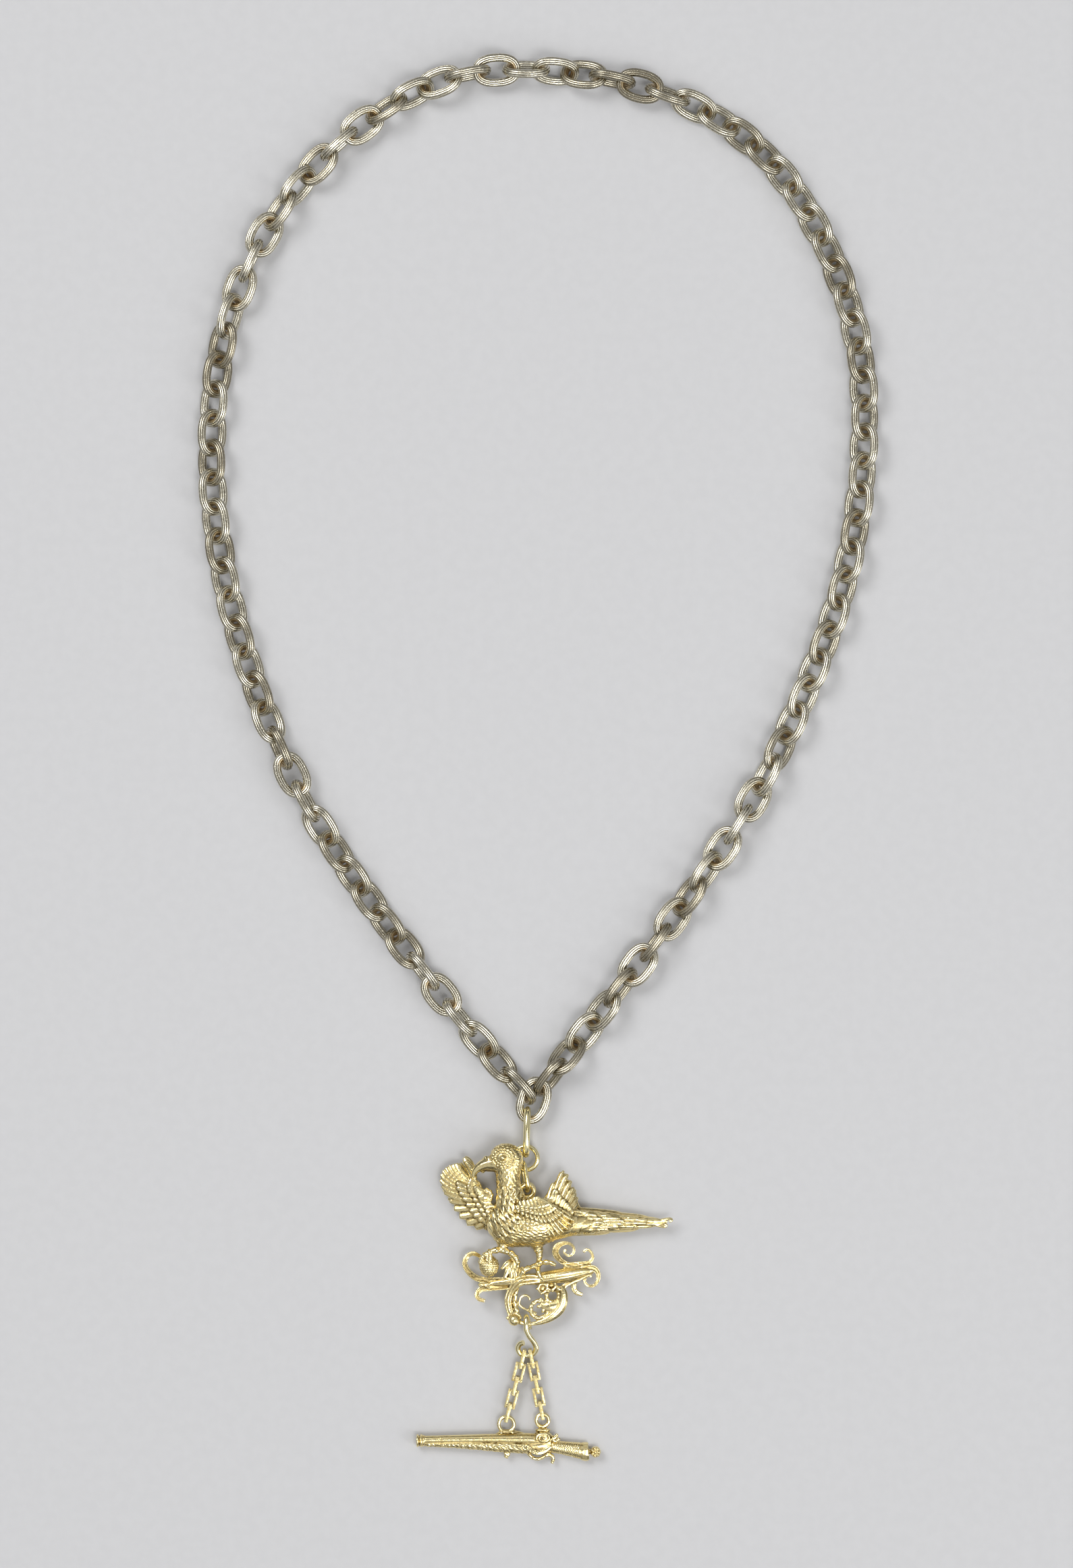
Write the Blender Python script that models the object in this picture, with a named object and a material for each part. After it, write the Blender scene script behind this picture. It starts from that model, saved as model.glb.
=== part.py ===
"""Ceremonial neck chain, with a parrot on a scrolled branch and a small musket hung below it.

The chain lies on a surface. X runs across the loop, +Y towards the nape, +Z up off the surface.
Every size is in metres. The castings are drawn on squares: each table says how many squares go to
the casting's length, and a row holds squares to the right, squares up and a half width in squares.
"""
import math

import bmesh
import bpy
from mathutils import Vector

MM = 0.001
CLEARANCE = 0.3 * MM

# Links of the neck chain
LINK_LENGTH = 14.4 * MM
LINK_WIDTH = 10.0 * MM
LINK_WIRE = 2.6 * MM
LINK_CORNERS = 10
LINK_SIDES = 5
LINK_SQUARENESS = 2.4
LEAST_CROSSING = math.radians(74)
LEFT_LINKS = 44
RIGHT_LINKS = 45
BOTTOM_LINK_TURN = math.radians(72)
BOTTOM_LINK_ROLL = math.radians(-2)

# Jump rings, from the bottom link to the parrot
RING_CORNERS = 12
RING_SIDES = 5
RING_SQUARENESS = 2.6
RING_PLAY = 0.45 * MM
BAIL_LENGTH = 15.5 * MM
BAIL_HEIGHT = 9.4 * MM
BAIL_WIRE = 2.2 * MM
BAIL_TURN = math.radians(-92)
HEAD_RING_DIAMETER = 8.6 * MM
HEAD_RING_WIRE = 1.6 * MM
HEAD_RING_RISE = 3.5 * MM
HEAD_RING_TILT = math.radians(10)
BACK_RING_LENGTH = 10.0 * MM
BACK_RING_HEIGHT = 6.2 * MM
BACK_RING_WIRE = 1.5 * MM
BACK_RING_RISE = 3.5 * MM
BACK_RING_TURN = math.radians(-82)
BACK_RING_LEAN = math.radians(12)
BACK_RING_BEARING = math.radians(-125)

# Parrot and perch
PARROT_LENGTH = 68.2 * MM
PARROT_DEPTH = 12.4 * MM
EYELET_HOLE = 2.3 * MM
EYELET_RIM = 1.3 * MM
EYELET_DEPTH = 1.5 * MM
PERCH_LENGTH = 40.4 * MM
PERCH_DEPTH = 3.4 * MM
PERCH_RISE = 4.5 * MM

# S-hook and the two small chains
HOOK_LENGTH = 13.4 * MM
HOOK_WIRE = 1.56 * MM
DROP_LINKS = 5
DROP_WIDTH = 3.0 * MM
DROP_END_WIDTH = 3.8 * MM
DROP_WALL = 0.7 * MM
DROP_DEPTH = 1.1 * MM
LEFT_DROP_LENGTH = 20.5 * MM
RIGHT_DROP_LENGTH = 19.5 * MM
LEFT_DROP_TURN = math.radians(-105)
RIGHT_DROP_TURN = math.radians(-79.4)

# Musket
MUSKET_LENGTH = 54.6 * MM
MUSKET_DEPTH = 4.4 * MM
LEFT_EYE_DIAMETER = 5.6 * MM
RIGHT_EYE_DIAMETER = 4.8 * MM
EYE_WIRE = 1.1 * MM

# Route of the chain, chosen by hand in millimetres: from the second joint up the left side
LEFT_ROUTE = [
    (-9.0, -92.9), (-28.8, -69.1), (-50.3, -40.8), (-69.4, -10.8), (-83.6, 21.8), (-93.1, 56.5),
    (-96.5, 91.8), (-92.2, 127.0), (-78.5, 159.2), (-55.9, 184.5), (-28.6, 200.6), (0.9, 203.9),
]
# and from the nape down the right side to the last joint but one
RIGHT_ROUTE = [
    (38.4, 196.6), (66.7, 179.3), (85.6, 151.2), (95.4, 119.4), (96.0, 85.4), (90.3, 51.6),
    (78.7, 19.1), (63.7, -11.7), (44.6, -40.6), (24.5, -67.3), (5.9, -90.8),
]
# The bottom link's middle and the two joints inside it, each with its height off the surface
BOTTOM_LINK_CENTRE = (-1.25, -100.65, 4.75)
LEFT_END = (-2.85, -99.75, 4.8)
RIGHT_END = (1.5, -96.85, 4.2)
# Heights of the joints next to those, and the rolls in degrees of the links that end there
LEFT_END_RISE = 4.55
RIGHT_END_RISE = 5.85
LEFT_END_ROLLS = (65, -42)
RIGHT_END_ROLLS = (-44, 64)

# How each link lies, in degrees of roll about its long axis: positive raises the side inside the loop
LIES = {"F": 0, "j": 22, "p": -22, "i": 38, "o": -38, "I": 56, "O": -56, "K": 74, "Q": -74}
LEFT_LIES = "IoiOFIoioioiQFIoioioioioioioioiojQFIQpiQpioi"
RIGHT_LIES = "ojKpioioioioioioioioioioioioioiojOFIojQFIOFKo"

SILVER = (0.62, 0.58, 0.50, 1.0)
GILT = (0.83, 0.68, 0.36, 1.0)


def clear_scene():
    """Removes every object that the file starts with."""
    for item in list(bpy.data.objects):
        bpy.data.objects.remove(item, do_unlink=True)


def metal(name, colour, roughness):
    """A plain metal of one colour."""
    material = bpy.data.materials.new(name)
    material.use_nodes = True
    shader = material.node_tree.nodes["Principled BSDF"]
    shader.inputs["Base Color"].default_value = colour
    shader.inputs["Metallic"].default_value = 1.0
    shader.inputs["Roughness"].default_value = roughness
    material.diffuse_color = colour
    return material


def curve_point(points, place):
    """A point on the smooth curve through all points; place counts points from the first."""
    first = min(int(place), len(points) - 2)
    share = place - first
    before = points[first - 1] if first else points[0] * 2 - points[1]
    after = points[first + 2] if first + 2 < len(points) else points[-1] * 2 - points[-2]
    start = points[first]
    end = points[first + 1]
    leave = (end - before) / 2
    arrive = (after - start) / 2
    cubic = start * 2 - end * 2 + leave + arrive
    square = end * 3 - start * 3 - leave * 2 - arrive
    return start + leave * share + square * share ** 2 + cubic * share ** 3


def evenly_spaced(points, first, last, count):
    """count + 1 points on the curve, at equal distances between two of its own points."""
    fine = 40 * (last - first)
    places = [first + (last - first) * k / fine for k in range(fine + 1)]
    path = [curve_point(points, place) for place in places]
    reached = [0.0]
    for start, end in zip(path, path[1:]):
        reached.append(reached[-1] + (end - start).length)
    spaced = []
    step = 0
    for k in range(count + 1):
        wanted = reached[-1] * k / count
        while step < fine - 1 and reached[step + 1] < wanted:
            step += 1
        share = (wanted - reached[step]) / (reached[step + 1] - reached[step])
        spaced.append(path[step].lerp(path[step + 1], share))
    return spaced


def oval(length, width, wire, corners, squareness=2.0):
    """Centreline of a ring as (along, across) pairs, with a straight stretch across each end."""
    points = []
    for k in range(corners):
        angle = (k + 0.5) * math.tau / corners
        along = math.copysign(abs(math.cos(angle)) ** (2 / squareness), math.cos(angle))
        across = math.copysign(abs(math.sin(angle)) ** (2 / squareness), math.sin(angle))
        points.append(Vector((along, across)))
    reach = max(point.x for point in points)
    spread = max(point.y for point in points)
    half_length = (length - wire) / 2
    half_width = (width - wire) / 2
    return [Vector((point.x * half_length / reach, point.y * half_width / spread)) for point in points]


def outward_corners(outline):
    """At each corner of a closed outline, the offset that moves both its sides out by one."""
    offsets = []
    for k, point in enumerate(outline):
        before = (point - outline[k - 1]).normalized()
        after = (outline[(k + 1) % len(outline)] - point).normalized()
        normal_before = Vector((before.y, -before.x))
        normal_after = Vector((after.y, -after.x))
        offsets.append((normal_before + normal_after) / (1 + normal_before.dot(normal_after)))
    return offsets


class Frame:
    """A place with an along, an across and a normal direction."""

    def __init__(self, centre, along, across):
        self.centre = Vector(centre)
        self.along = Vector(along).normalized()
        self.normal = self.along.cross(Vector(across)).normalized()
        self.across = self.normal.cross(self.along)

    def at(self, along, across, normal=0.0):
        return self.centre + self.along * along + self.across * across + self.normal * normal


def skin(mesh, rings, closed=False):
    """Skins rows of points that all hold one count; the ends are capped unless the rows close."""
    rows = [[mesh.verts.new(point) for point in ring] for ring in rings]
    count = len(rows[0])
    following = rows[1:] + rows[:1] if closed else rows[1:]
    faces = []
    for low, high in zip(rows, following):
        around = [(low[k], low[(k + 1) % count], high[(k + 1) % count], high[k]) for k in range(count)]
        faces.append([mesh.faces.new(corners) for corners in around])
    if not closed:
        mesh.faces.new(rows[0])
        mesh.faces.new(rows[-1])
    return faces


def bent_wire(mesh, outline, frame, wire, sides, depth=None):
    """A closed ring of wire in a frame's plane. A flat of the wire faces in: face 0 of each row."""
    radius = wire / 2
    rise = radius if depth is None else depth / 2
    rings = []
    for point, offset in zip(outline, outward_corners(outline)):
        ring = []
        for k in range(sides):
            angle = math.pi - math.pi / sides + k * math.tau / sides
            place = point + offset * radius * math.cos(angle)
            ring.append(frame.at(place.x, place.y, rise * math.sin(angle)))
        rings.append(ring)
    return skin(mesh, rings, closed=True)


def tube(mesh, path, sides, flatness=1.0):
    """A rod along rows of (point, radius), with as little twist as its bends allow."""
    points = [point for point, radius in path]
    up = Vector((0, 0, 1))
    rings = []
    for k, (point, radius) in enumerate(path):
        ahead = points[min(k + 1, len(points) - 1)] - points[max(k - 1, 0)]
        ahead.normalize()
        side = ahead.cross(up).normalized()
        up = side.cross(ahead)
        ring = []
        for j in range(sides):
            angle = (j + 0.5) * math.tau / sides
            ring.append(point + side * radius * math.cos(angle) + up * radius * flatness * math.sin(angle))
        rings.append(ring)
    skin(mesh, rings)


def smooth_tube(mesh, rows, stations, sides, flatness=1.0):
    """A rod along the smooth curve through rows of (point, radius)."""
    points = [Vector((*point, radius)) for point, radius in rows]
    path = []
    for k in range(stations):
        at = curve_point(points, (len(points) - 1) * k / (stations - 1))
        path.append((Vector(at[:3]), at[3]))
    tube(mesh, path, sides, flatness)


def blob(mesh, centre, half_sizes, around=10, rows=6):
    """A rounded lump, flattened or drawn out along the three axes."""
    made = bmesh.ops.create_uvsphere(mesh, u_segments=around, v_segments=rows, radius=1.0)
    for vertex in made["verts"]:
        vertex.co = Vector(c + v * s for c, v, s in zip(centre, vertex.co, half_sizes))


def halfway(points, k):
    """The point between neighbours k - 1 and k, or half a step outside the first or the last."""
    if k == 0:
        return points[0] * 1.5 - points[1] * 0.5
    if k == len(points):
        return points[-1] * 1.5 - points[-2] * 0.5
    return (points[k - 1] + points[k]) / 2


def feather_fan(mesh, feathers, place, root_depth, tip_depth, thickness, relief, notch, steps):
    """A fan of feathers in one sheet: a ridge down each feather and a groove between two.

    feathers are rows of (root right, root up, tip right, tip up); place turns squares right, squares
    up and a share of the depth into a point. The grooves stop short of the tips by the notch.
    """
    roots = [Vector(row[:2]) for row in feathers]
    tips = [Vector(row[2:]) for row in feathers]
    top = []
    bottom = []
    for line in range(2 * len(feathers) + 1):
        on_ridge = line % 2 == 1
        if on_ridge:
            start = roots[line // 2]
            end = tips[line // 2]
        else:
            start = halfway(roots, line // 2)
            end = start.lerp(halfway(tips, line // 2), notch)
        swell = relief if on_ridge else -relief
        for sheet, side in ((top, 1), (bottom, -1)):
            row = []
            for step in range(steps + 1):
                share = step / steps
                flat = start.lerp(end, share)
                depth = root_depth + (tip_depth - root_depth) * share + CAMBER * share * (1 - share)
                half = thickness / 2 * (1 - 0.35 * share)
                depth += side * half + (swell if side > 0 else 0.0)
                row.append(mesh.verts.new(place(flat.x, flat.y, depth)))
            sheet.append(row)
    for sheet in (top, bottom):
        for one, other in zip(sheet, sheet[1:]):
            for step in range(steps):
                mesh.faces.new((one[step], one[step + 1], other[step + 1], other[step]))
    rim_top = top[0] + [row[-1] for row in top[1:-1]] + top[-1][::-1] + [row[0] for row in top[-2:0:-1]]
    rim_low = bottom[0] + [row[-1] for row in bottom[1:-1]] + bottom[-1][::-1]
    rim_low += [row[0] for row in bottom[-2:0:-1]]
    count = len(rim_top)
    for k in range(count):
        following = (k + 1) % count
        mesh.faces.new((rim_top[k], rim_top[following], rim_low[following], rim_low[k]))


def finished(mesh):
    """Mesh data with its faces turned outwards."""
    bmesh.ops.recalc_face_normals(mesh, faces=mesh.faces)
    data = bpy.data.meshes.new("piece")
    mesh.to_mesh(data)
    mesh.free()
    return data


def one_piece(shape, *details):
    """Mesh data of one closed shape, made by a shaping function and its details."""
    mesh = bmesh.new()
    shape(mesh, *details)
    return finished(mesh)


def add_object(name, data, material):
    """A named sub-part with its own material, shaded flat on its facets."""
    data.name = name
    data.materials.clear()
    data.materials.append(material)
    item = bpy.data.objects.new(name, data)
    bpy.context.scene.collection.objects.link(item)
    return item


def fused(name, pieces, material):
    """One body from closed pieces that overlap each other."""
    item = add_object(name, pieces[0], material)
    tools = bpy.data.collections.new(name + "_pieces")
    bpy.context.scene.collection.children.link(tools)
    for piece in pieces[1:]:
        tools.objects.link(bpy.data.objects.new(name + "_piece", piece))
    union = item.modifiers.new("union", "BOOLEAN")
    union.operation = "UNION"
    union.operand_type = "COLLECTION"
    union.collection = tools
    union.solver = "EXACT"
    whole = bpy.data.meshes.new_from_object(item.evaluated_get(bpy.context.evaluated_depsgraph_get()))
    item.modifiers.clear()
    item.data = whole
    whole.name = name
    whole.materials.clear()
    whole.materials.append(material)
    for tool in list(tools.objects):
        bpy.data.objects.remove(tool, do_unlink=True)
    bpy.data.collections.remove(tools)
    tidy = bmesh.new()
    tidy.from_mesh(whole)
    bmesh.ops.triangulate(tidy, faces=tidy.faces)
    # Where pieces only brush each other, a face can be left lying on its own back: both go
    faces_on = {}
    for face in tidy.faces:
        faces_on.setdefault(frozenset(face.verts), []).append(face)
    doubled = [face for faces in faces_on.values() if len(faces) > 1 for face in faces]
    bmesh.ops.delete(tidy, geom=doubled, context="FACES")
    tidy.to_mesh(whole)
    tidy.free()
    return item


# Neck chain

LINK_OUTLINE = oval(LINK_LENGTH, LINK_WIDTH, LINK_WIRE, LINK_CORNERS, LINK_SQUARENESS)
FAR_END = LINK_CORNERS - 1
NEAR_END = LINK_CORNERS // 2 - 1
BAIL_CENTRE_RISE = BAIL_HEIGHT / 2
LIFT_SHARE = 0.6
LIFT_SWEEPS = 120
TURN_SWEEPS = 60


def link_frame(start, end, roll):
    """A link between two joints, rolled about its long axis; across points into the loop."""
    along = end - start
    inward = along.cross(Vector((0, 0, 1))).normalized()
    over = inward.cross(along).normalized()
    across = inward * math.cos(roll) + over * math.sin(roll)
    return Frame((start + end) / 2, along, across)


def lowest_point(frame):
    """How far along a link its lowest point lies, and its height."""
    radius = LINK_WIRE / 2
    heights = [(frame.at(point.x, point.y).z - radius, point.x) for point in LINK_OUTLINE]
    height, along = min(heights)
    return along, height


def crossing_rolls(rolls):
    """Turns neighbours that cross too flatly apart, a little at a time."""
    for sweep in range(TURN_SWEEPS):
        for k in range(len(rolls) - 1):
            crossing = (rolls[k + 1] - rolls[k] + math.pi / 2) % math.pi - math.pi / 2
            lacking = LEAST_CROSSING - abs(crossing)
            if lacking > 0:
                turn = math.copysign(lacking / 2, crossing)
                rolls[k] -= turn
                rolls[k + 1] += turn
    return rolls


def in_millimetres(place):
    """A point of the route in metres; without a height it lies on the surface."""
    return Vector((*place, 0)[:3]) * MM


def chain_frames():
    """The frames of all links from the bottom link up the left side and down the right side."""
    route = [in_millimetres(place) for place in LEFT_ROUTE + RIGHT_ROUTE]
    nape = len(LEFT_ROUTE) - 1
    joints = evenly_spaced(route, 0, nape, LEFT_LINKS - 1)
    joints += evenly_spaced(route, nape, len(route) - 1, RIGHT_LINKS - 1)[1:]
    lies = LEFT_LIES[:LEFT_LINKS].ljust(LEFT_LINKS, "i")
    lies += RIGHT_LIES[:RIGHT_LINKS].ljust(RIGHT_LINKS, "o")
    rolls = crossing_rolls([math.radians(LIES[letter]) for letter in lies])
    rolls[:2] = [math.radians(roll) for roll in LEFT_END_ROLLS]
    rolls[-2:] = [math.radians(roll) for roll in RIGHT_END_ROLLS]
    for joint in joints:
        joint.z = LINK_WIRE / 2
    joints[0].z = LEFT_END_RISE * MM
    joints[-1].z = RIGHT_END_RISE * MM
    joints = [in_millimetres(LEFT_END)] + joints + [in_millimetres(RIGHT_END)]
    # Each link that would dip below the surface lifts its two joints a little, until none does
    for sweep in range(LIFT_SWEEPS):
        for k, roll in enumerate(rolls):
            along, height = lowest_point(link_frame(joints[k], joints[k + 1], roll))
            if height < 0:
                joints[k].z -= height * (0.5 - along / LINK_LENGTH) * LIFT_SHARE
                joints[k + 1].z -= height * (0.5 + along / LINK_LENGTH) * LIFT_SHARE
    return [link_frame(joints[k], joints[k + 1], roll) for k, roll in enumerate(rolls)]


def bottom_link_frame():
    """The link that closes the loop and carries the pendant."""
    along = Vector((math.cos(BOTTOM_LINK_TURN), math.sin(BOTTOM_LINK_TURN), 0))
    flat = Vector((along.y, -along.x, 0))
    across = flat * math.cos(BOTTOM_LINK_ROLL) + Vector((0, 0, 1)) * math.sin(BOTTOM_LINK_ROLL)
    return Frame(in_millimetres(BOTTOM_LINK_CENTRE), along, across)


def solder(mesh, face, other):
    """Fuses two wires where they touch: their facing flats open into one short neck."""
    ring = list(face.verts)
    facing = list(other.verts)[::-1]
    count = len(ring)

    def gap(turn):
        return sum((ring[k].co - facing[(k + turn) % count].co).length for k in range(count))

    turn = min(range(count), key=gap)
    mesh.faces.remove(face)
    mesh.faces.remove(other)
    for k in range(count):
        following = (k + 1) % count
        corners = (ring[k], ring[following], facing[(following + turn) % count], facing[(k + turn) % count])
        mesh.faces.new(corners)


def chain_strand(frames, bottom=None):
    """A run of interlocking links fused at each joint, and to the bottom link where it has one."""
    mesh = bmesh.new()
    links = [bent_wire(mesh, LINK_OUTLINE, frame, LINK_WIRE, LINK_SIDES) for frame in frames]
    for link, following in zip(links, links[1:]):
        solder(mesh, link[FAR_END][0], following[NEAR_END][0])
    if bottom:
        hanging = bent_wire(mesh, LINK_OUTLINE, bottom, LINK_WIRE, LINK_SIDES)
        end = links[0][NEAR_END][0]
        place = end.calc_center_median()
        nearest = min(hanging, key=lambda row: (row[0].calc_center_median() - place).length)
        solder(mesh, end, nearest[0])
    return finished(mesh)


def neck_chain(silver):
    frames = chain_frames()
    bottom = bottom_link_frame()
    add_object("chain_left", chain_strand(frames[:LEFT_LINKS], bottom), silver)
    add_object("chain_right", chain_strand(frames[LEFT_LINKS:]), silver)
    return bottom


# Jump rings

def ring_frame(top, turn, length, wire, lean=0.0):
    """A ring on edge that hangs from a point of its centreline; its across leans off upright."""
    along = Vector((math.cos(turn), math.sin(turn), 0))
    level = Vector((-along.y, along.x, 0))
    across = Vector((0, 0, 1)) * math.cos(lean) + level * math.sin(lean)
    return Frame(top + along * (length - wire) / 2, along, across)


def jump_rings(bottom, gilt):
    """The three rings from the bottom link down; returns where the last one holds the parrot."""
    down = Vector((0, -1, 0))
    link_end = bottom.at(-(LINK_LENGTH - LINK_WIRE) / 2, 0)
    bail_top = link_end - down * ((LINK_WIRE + BAIL_WIRE) / 2 + RING_PLAY)
    bail_top.z = BAIL_CENTRE_RISE
    bail = ring_frame(bail_top, BAIL_TURN, BAIL_LENGTH, BAIL_WIRE)
    outline = oval(BAIL_LENGTH, BAIL_HEIGHT, BAIL_WIRE, RING_CORNERS, RING_SQUARENESS)
    add_object("bail_ring", one_piece(bent_wire, outline, bail, BAIL_WIRE, RING_SIDES), gilt)

    bail_end = bail.at((BAIL_LENGTH - BAIL_WIRE) / 2, 0)
    head_radius = (HEAD_RING_DIAMETER - HEAD_RING_WIRE) / 2
    head_top = bail_end - down * ((BAIL_WIRE + HEAD_RING_WIRE) / 2 + RING_PLAY)
    head_centre = head_top + down * head_radius
    head_centre.z = HEAD_RING_RISE
    across = Vector((0, 1, 0))
    along = Vector((math.cos(HEAD_RING_TILT), 0, math.sin(HEAD_RING_TILT)))
    outline = oval(HEAD_RING_DIAMETER, HEAD_RING_DIAMETER, HEAD_RING_WIRE, RING_CORNERS)
    head = Frame(head_centre, along, across)
    add_object("head_ring", one_piece(bent_wire, outline, head, HEAD_RING_WIRE, RING_SIDES), gilt)

    inside = head_radius - (HEAD_RING_WIRE + BACK_RING_WIRE) / 2 - RING_PLAY
    bearing = Vector((math.cos(BACK_RING_BEARING), math.sin(BACK_RING_BEARING), 0))
    back_top = head_centre + bearing * inside
    back_top.z = BACK_RING_RISE
    back = ring_frame(back_top, BACK_RING_TURN, BACK_RING_LENGTH, BACK_RING_WIRE, BACK_RING_LEAN)
    outline = oval(BACK_RING_LENGTH, BACK_RING_HEIGHT, BACK_RING_WIRE, RING_CORNERS, RING_SQUARENESS)
    add_object("back_ring", one_piece(bent_wire, outline, back, BACK_RING_WIRE, RING_SIDES), gilt)
    return back.at((BACK_RING_LENGTH - BACK_RING_WIRE) / 2, 0)


# Parrot: 341 squares to its length, counted from the eyelet's hole; depths are percent of its depth

PARROT_SQUARES = 341
# along, up, half height, half depth, middle depth
BODY = [
    (-60, -48, 2, 6, 42), (-56, -47, 14, 20, 42), (-47, -43, 27, 33, 42), (-32, -46, 36, 46, 38),
    (-7, -48, 35, 50, 38), (18, -48, 34, 50, 38), (43, -46, 27, 44, 38), (68, -47, 21, 31, 41),
    (98, -50, 15, 20, 40), (133, -51, 8, 8, 38),
]
# up, along, half width, half depth, middle depth
NECK = [
    (-39, -25, 20, 28, 50), (-16, -25, 22, 33, 52), (-1, -25, 20, 31, 55), (19, -28, 18.5, 29, 58),
    (31, -28, 20, 28, 60), (40, -29, 23, 29, 61), (50, -30, 25.5, 31, 61), (60, -30, 23, 28, 61),
    (67, -31, 16, 20, 61), (71, -31, 7, 9, 61),
]
# right, up, half width
BEAK = [(-46, 46, 10), (-58, 44, 8), (-68, 38, 6.2), (-75, 31, 4.8), (-78, 21, 2)]
JAW = [(-48, 34, 6), (-60, 30, 3.8), (-69, 27, 1.6)]
BEAK_DEPTH = 61
# right, up, half width, half height, half depth, middle depth
CERE = (-62, 51, 5, 4, 14, 61)
EYE = (-35, 52, 8, 8, 8, 87)
# root right, root up, tip right, tip up
FAR_WING = [
    (-74, 17, -92, 49), (-73, 12, -99, 36), (-71, 7, -115, 32), (-68, 2, -127, 23), (-64, -3, -127, 9),
    (-60, -9, -120, -5), (-57, -15, -109, -20), (-55, -21, -103, -34), (-54, -27, -92, -45),
    (-53, -33, -78, -53), (-52, -39, -64, -55),
]
RAISED_WING = [
    (30, -21, 41, 4), (36, -25, 49, 21), (44, -30, 56, 29), (53, -34, 64, 19), (61, -37, 70, 3),
    (68, -39, 75, -14),
]
NEAR_WING = [
    (-10, -31, 6, -59), (-4, -28, 16, -62), (3, -26, 27, -64), (10, -24, 38, -66), (18, -22, 50, -63),
    (26, -21, 61, -58), (34, -21, 70, -50), (42, -23, 79, -43),
]
TAIL = [
    (63, -29, 146, -35), (63, -34, 183, -40), (63, -43, 214, -46), (63, -51, 204, -55),
    (63, -58, 166, -59), (63, -66, 123, -65),
]
# right, up, half width, percent of depth
THIGH = [(-36, -70, 8, 42), (-35, -84, 5.5, 48), (-33, -89, 4.5, 50)]
CLAW_ON_FRUIT = [
    (-31, -87, 4.5, 50), (-48, -87, 4.5, 53), (-60, -92, 4, 52), (-67, -99, 3.5, 53), (-70, -107, 2.5, 55),
]
CLAW_ON_LEAF = [(-34, -87, 4.5, 50), (-21, -93, 4.5, 56), (-14, -103, 4, 58), (-14, -113, 2.5, 54)]
SHANK = [(15, -68, 9, 42), (17, -86, 6, 42), (17, -99, 4.5, 42), (16, -111, 4.2, 42), (16, -119, 4.2, 42)]
RIGHT_TOE = [(15, -107, 4, 44), (31, -104, 3.6, 58), (43, -108, 2.6, 60)]
LEFT_TOE = [(17, -109, 4, 44), (1, -113, 4, 58), (-7, -119, 3.6, 62), (-10, -125, 2, 60)]
FRONT_TOE = [(16, -112, 4, 42), (17, -118, 3.6, 60), (20, -126, 3, 62), (25, -132, 1.6, 60)]
# right, up, half width, half height, half depth, middle depth
FRUIT = (-56, -110, 16.5, 18.5, 24, 42)
FAR_SHOULDER = (-66, -8, 13, 11, 12, 48)
LUG_FOOT = (-4, -24, 40)
FOOT_SEAT = (16, -119)
# How far a sheet of feathers arches up between root and tip
CAMBER = 12


def parrot(hole, gilt):
    """The bird with its eyelet over the hole; returns the point under its standing foot."""
    square = PARROT_LENGTH / PARROT_SQUARES

    def place(right, up, depth):
        return Vector((hole.x + right * square, hole.y + up * square, PARROT_DEPTH * depth / 100))

    def section(row, upright):
        first, second, half_width, half_depth, depth = row
        ring = []
        for k in range(12):
            angle = k * math.tau / 12
            aside = half_width * math.cos(angle)
            rise = max(depth + half_depth * math.sin(angle), 0)
            ring.append(place(second + aside, first, rise) if upright else place(first, second + aside, rise))
        return ring

    def limb(rows, stations, sides=6):
        path = [(place(right, up, depth), half * square) for right, up, half, depth in rows]
        return one_piece(smooth_tube, path, stations, sides)

    def lump(right, up, half_width, half_height, half_depth, depth, around=10, rows=6):
        sizes = (half_width * square, half_height * square, PARROT_DEPTH * half_depth / 100)
        return one_piece(blob, place(right, up, depth), sizes, around, rows)

    def fan(feathers, root_depth, tip_depth, thickness, relief, notch, steps):
        return one_piece(
            feather_fan, feathers, place, root_depth, tip_depth, thickness, relief, notch, steps
        )

    def eyelet():
        diameter = EYELET_HOLE + 2 * EYELET_RIM
        outline = oval(diameter, diameter, EYELET_RIM, RING_CORNERS)
        frame = Frame((hole.x, hole.y, BACK_RING_RISE), (1, 0, 0), (0, 1, 0))
        return one_piece(bent_wire, outline, frame, EYELET_RIM, 6, EYELET_DEPTH)

    def lug():
        reach = (EYELET_HOLE + EYELET_RIM) / 2
        foot = place(*LUG_FOOT)
        head = Vector((hole.x, hole.y - reach - 0.1 * EYELET_RIM, BACK_RING_RISE))
        return one_piece(tube, [(foot, EYELET_RIM), (head, EYELET_RIM * 0.55)], 6)

    pieces = [
        one_piece(skin, [section(row, upright=False) for row in BODY]),
        one_piece(skin, [section(row, upright=True) for row in NECK]),
        limb([(*row, BEAK_DEPTH) for row in BEAK], 6),
        limb([(*row, BEAK_DEPTH) for row in JAW], 4),
        lump(*CERE, 8, 4),
        lump(*EYE, 8, 5),
        fan(FAR_WING, 42, 26, 22, 3, 0.9, 2),
        fan(RAISED_WING, 60, 44, 22, 3, 0.9, 1),
        fan(NEAR_WING, 88, 78, 20, 3, 0.93, 2),
        fan(TAIL, 43, 32, 24, 3, 0.95, 1),
        limb(THIGH, 3),
        limb(CLAW_ON_FRUIT, 5),
        limb(CLAW_ON_LEAF, 5),
        limb(SHANK, 5),
        limb(RIGHT_TOE, 4),
        limb(LEFT_TOE, 5),
        limb(FRONT_TOE, 5),
        lump(*FRUIT, 12, 7),
        lump(*FAR_SHOULDER, 8, 5),
        eyelet(),
        lug(),
    ]
    fused("parrot", pieces, gilt)
    return place(*FOOT_SEAT, 0)


# Perch: 202 squares to its length, counted from the branch's upper edge under the standing foot

PERCH_SQUARES = 202
HOOP_CORNERS = 10
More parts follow.
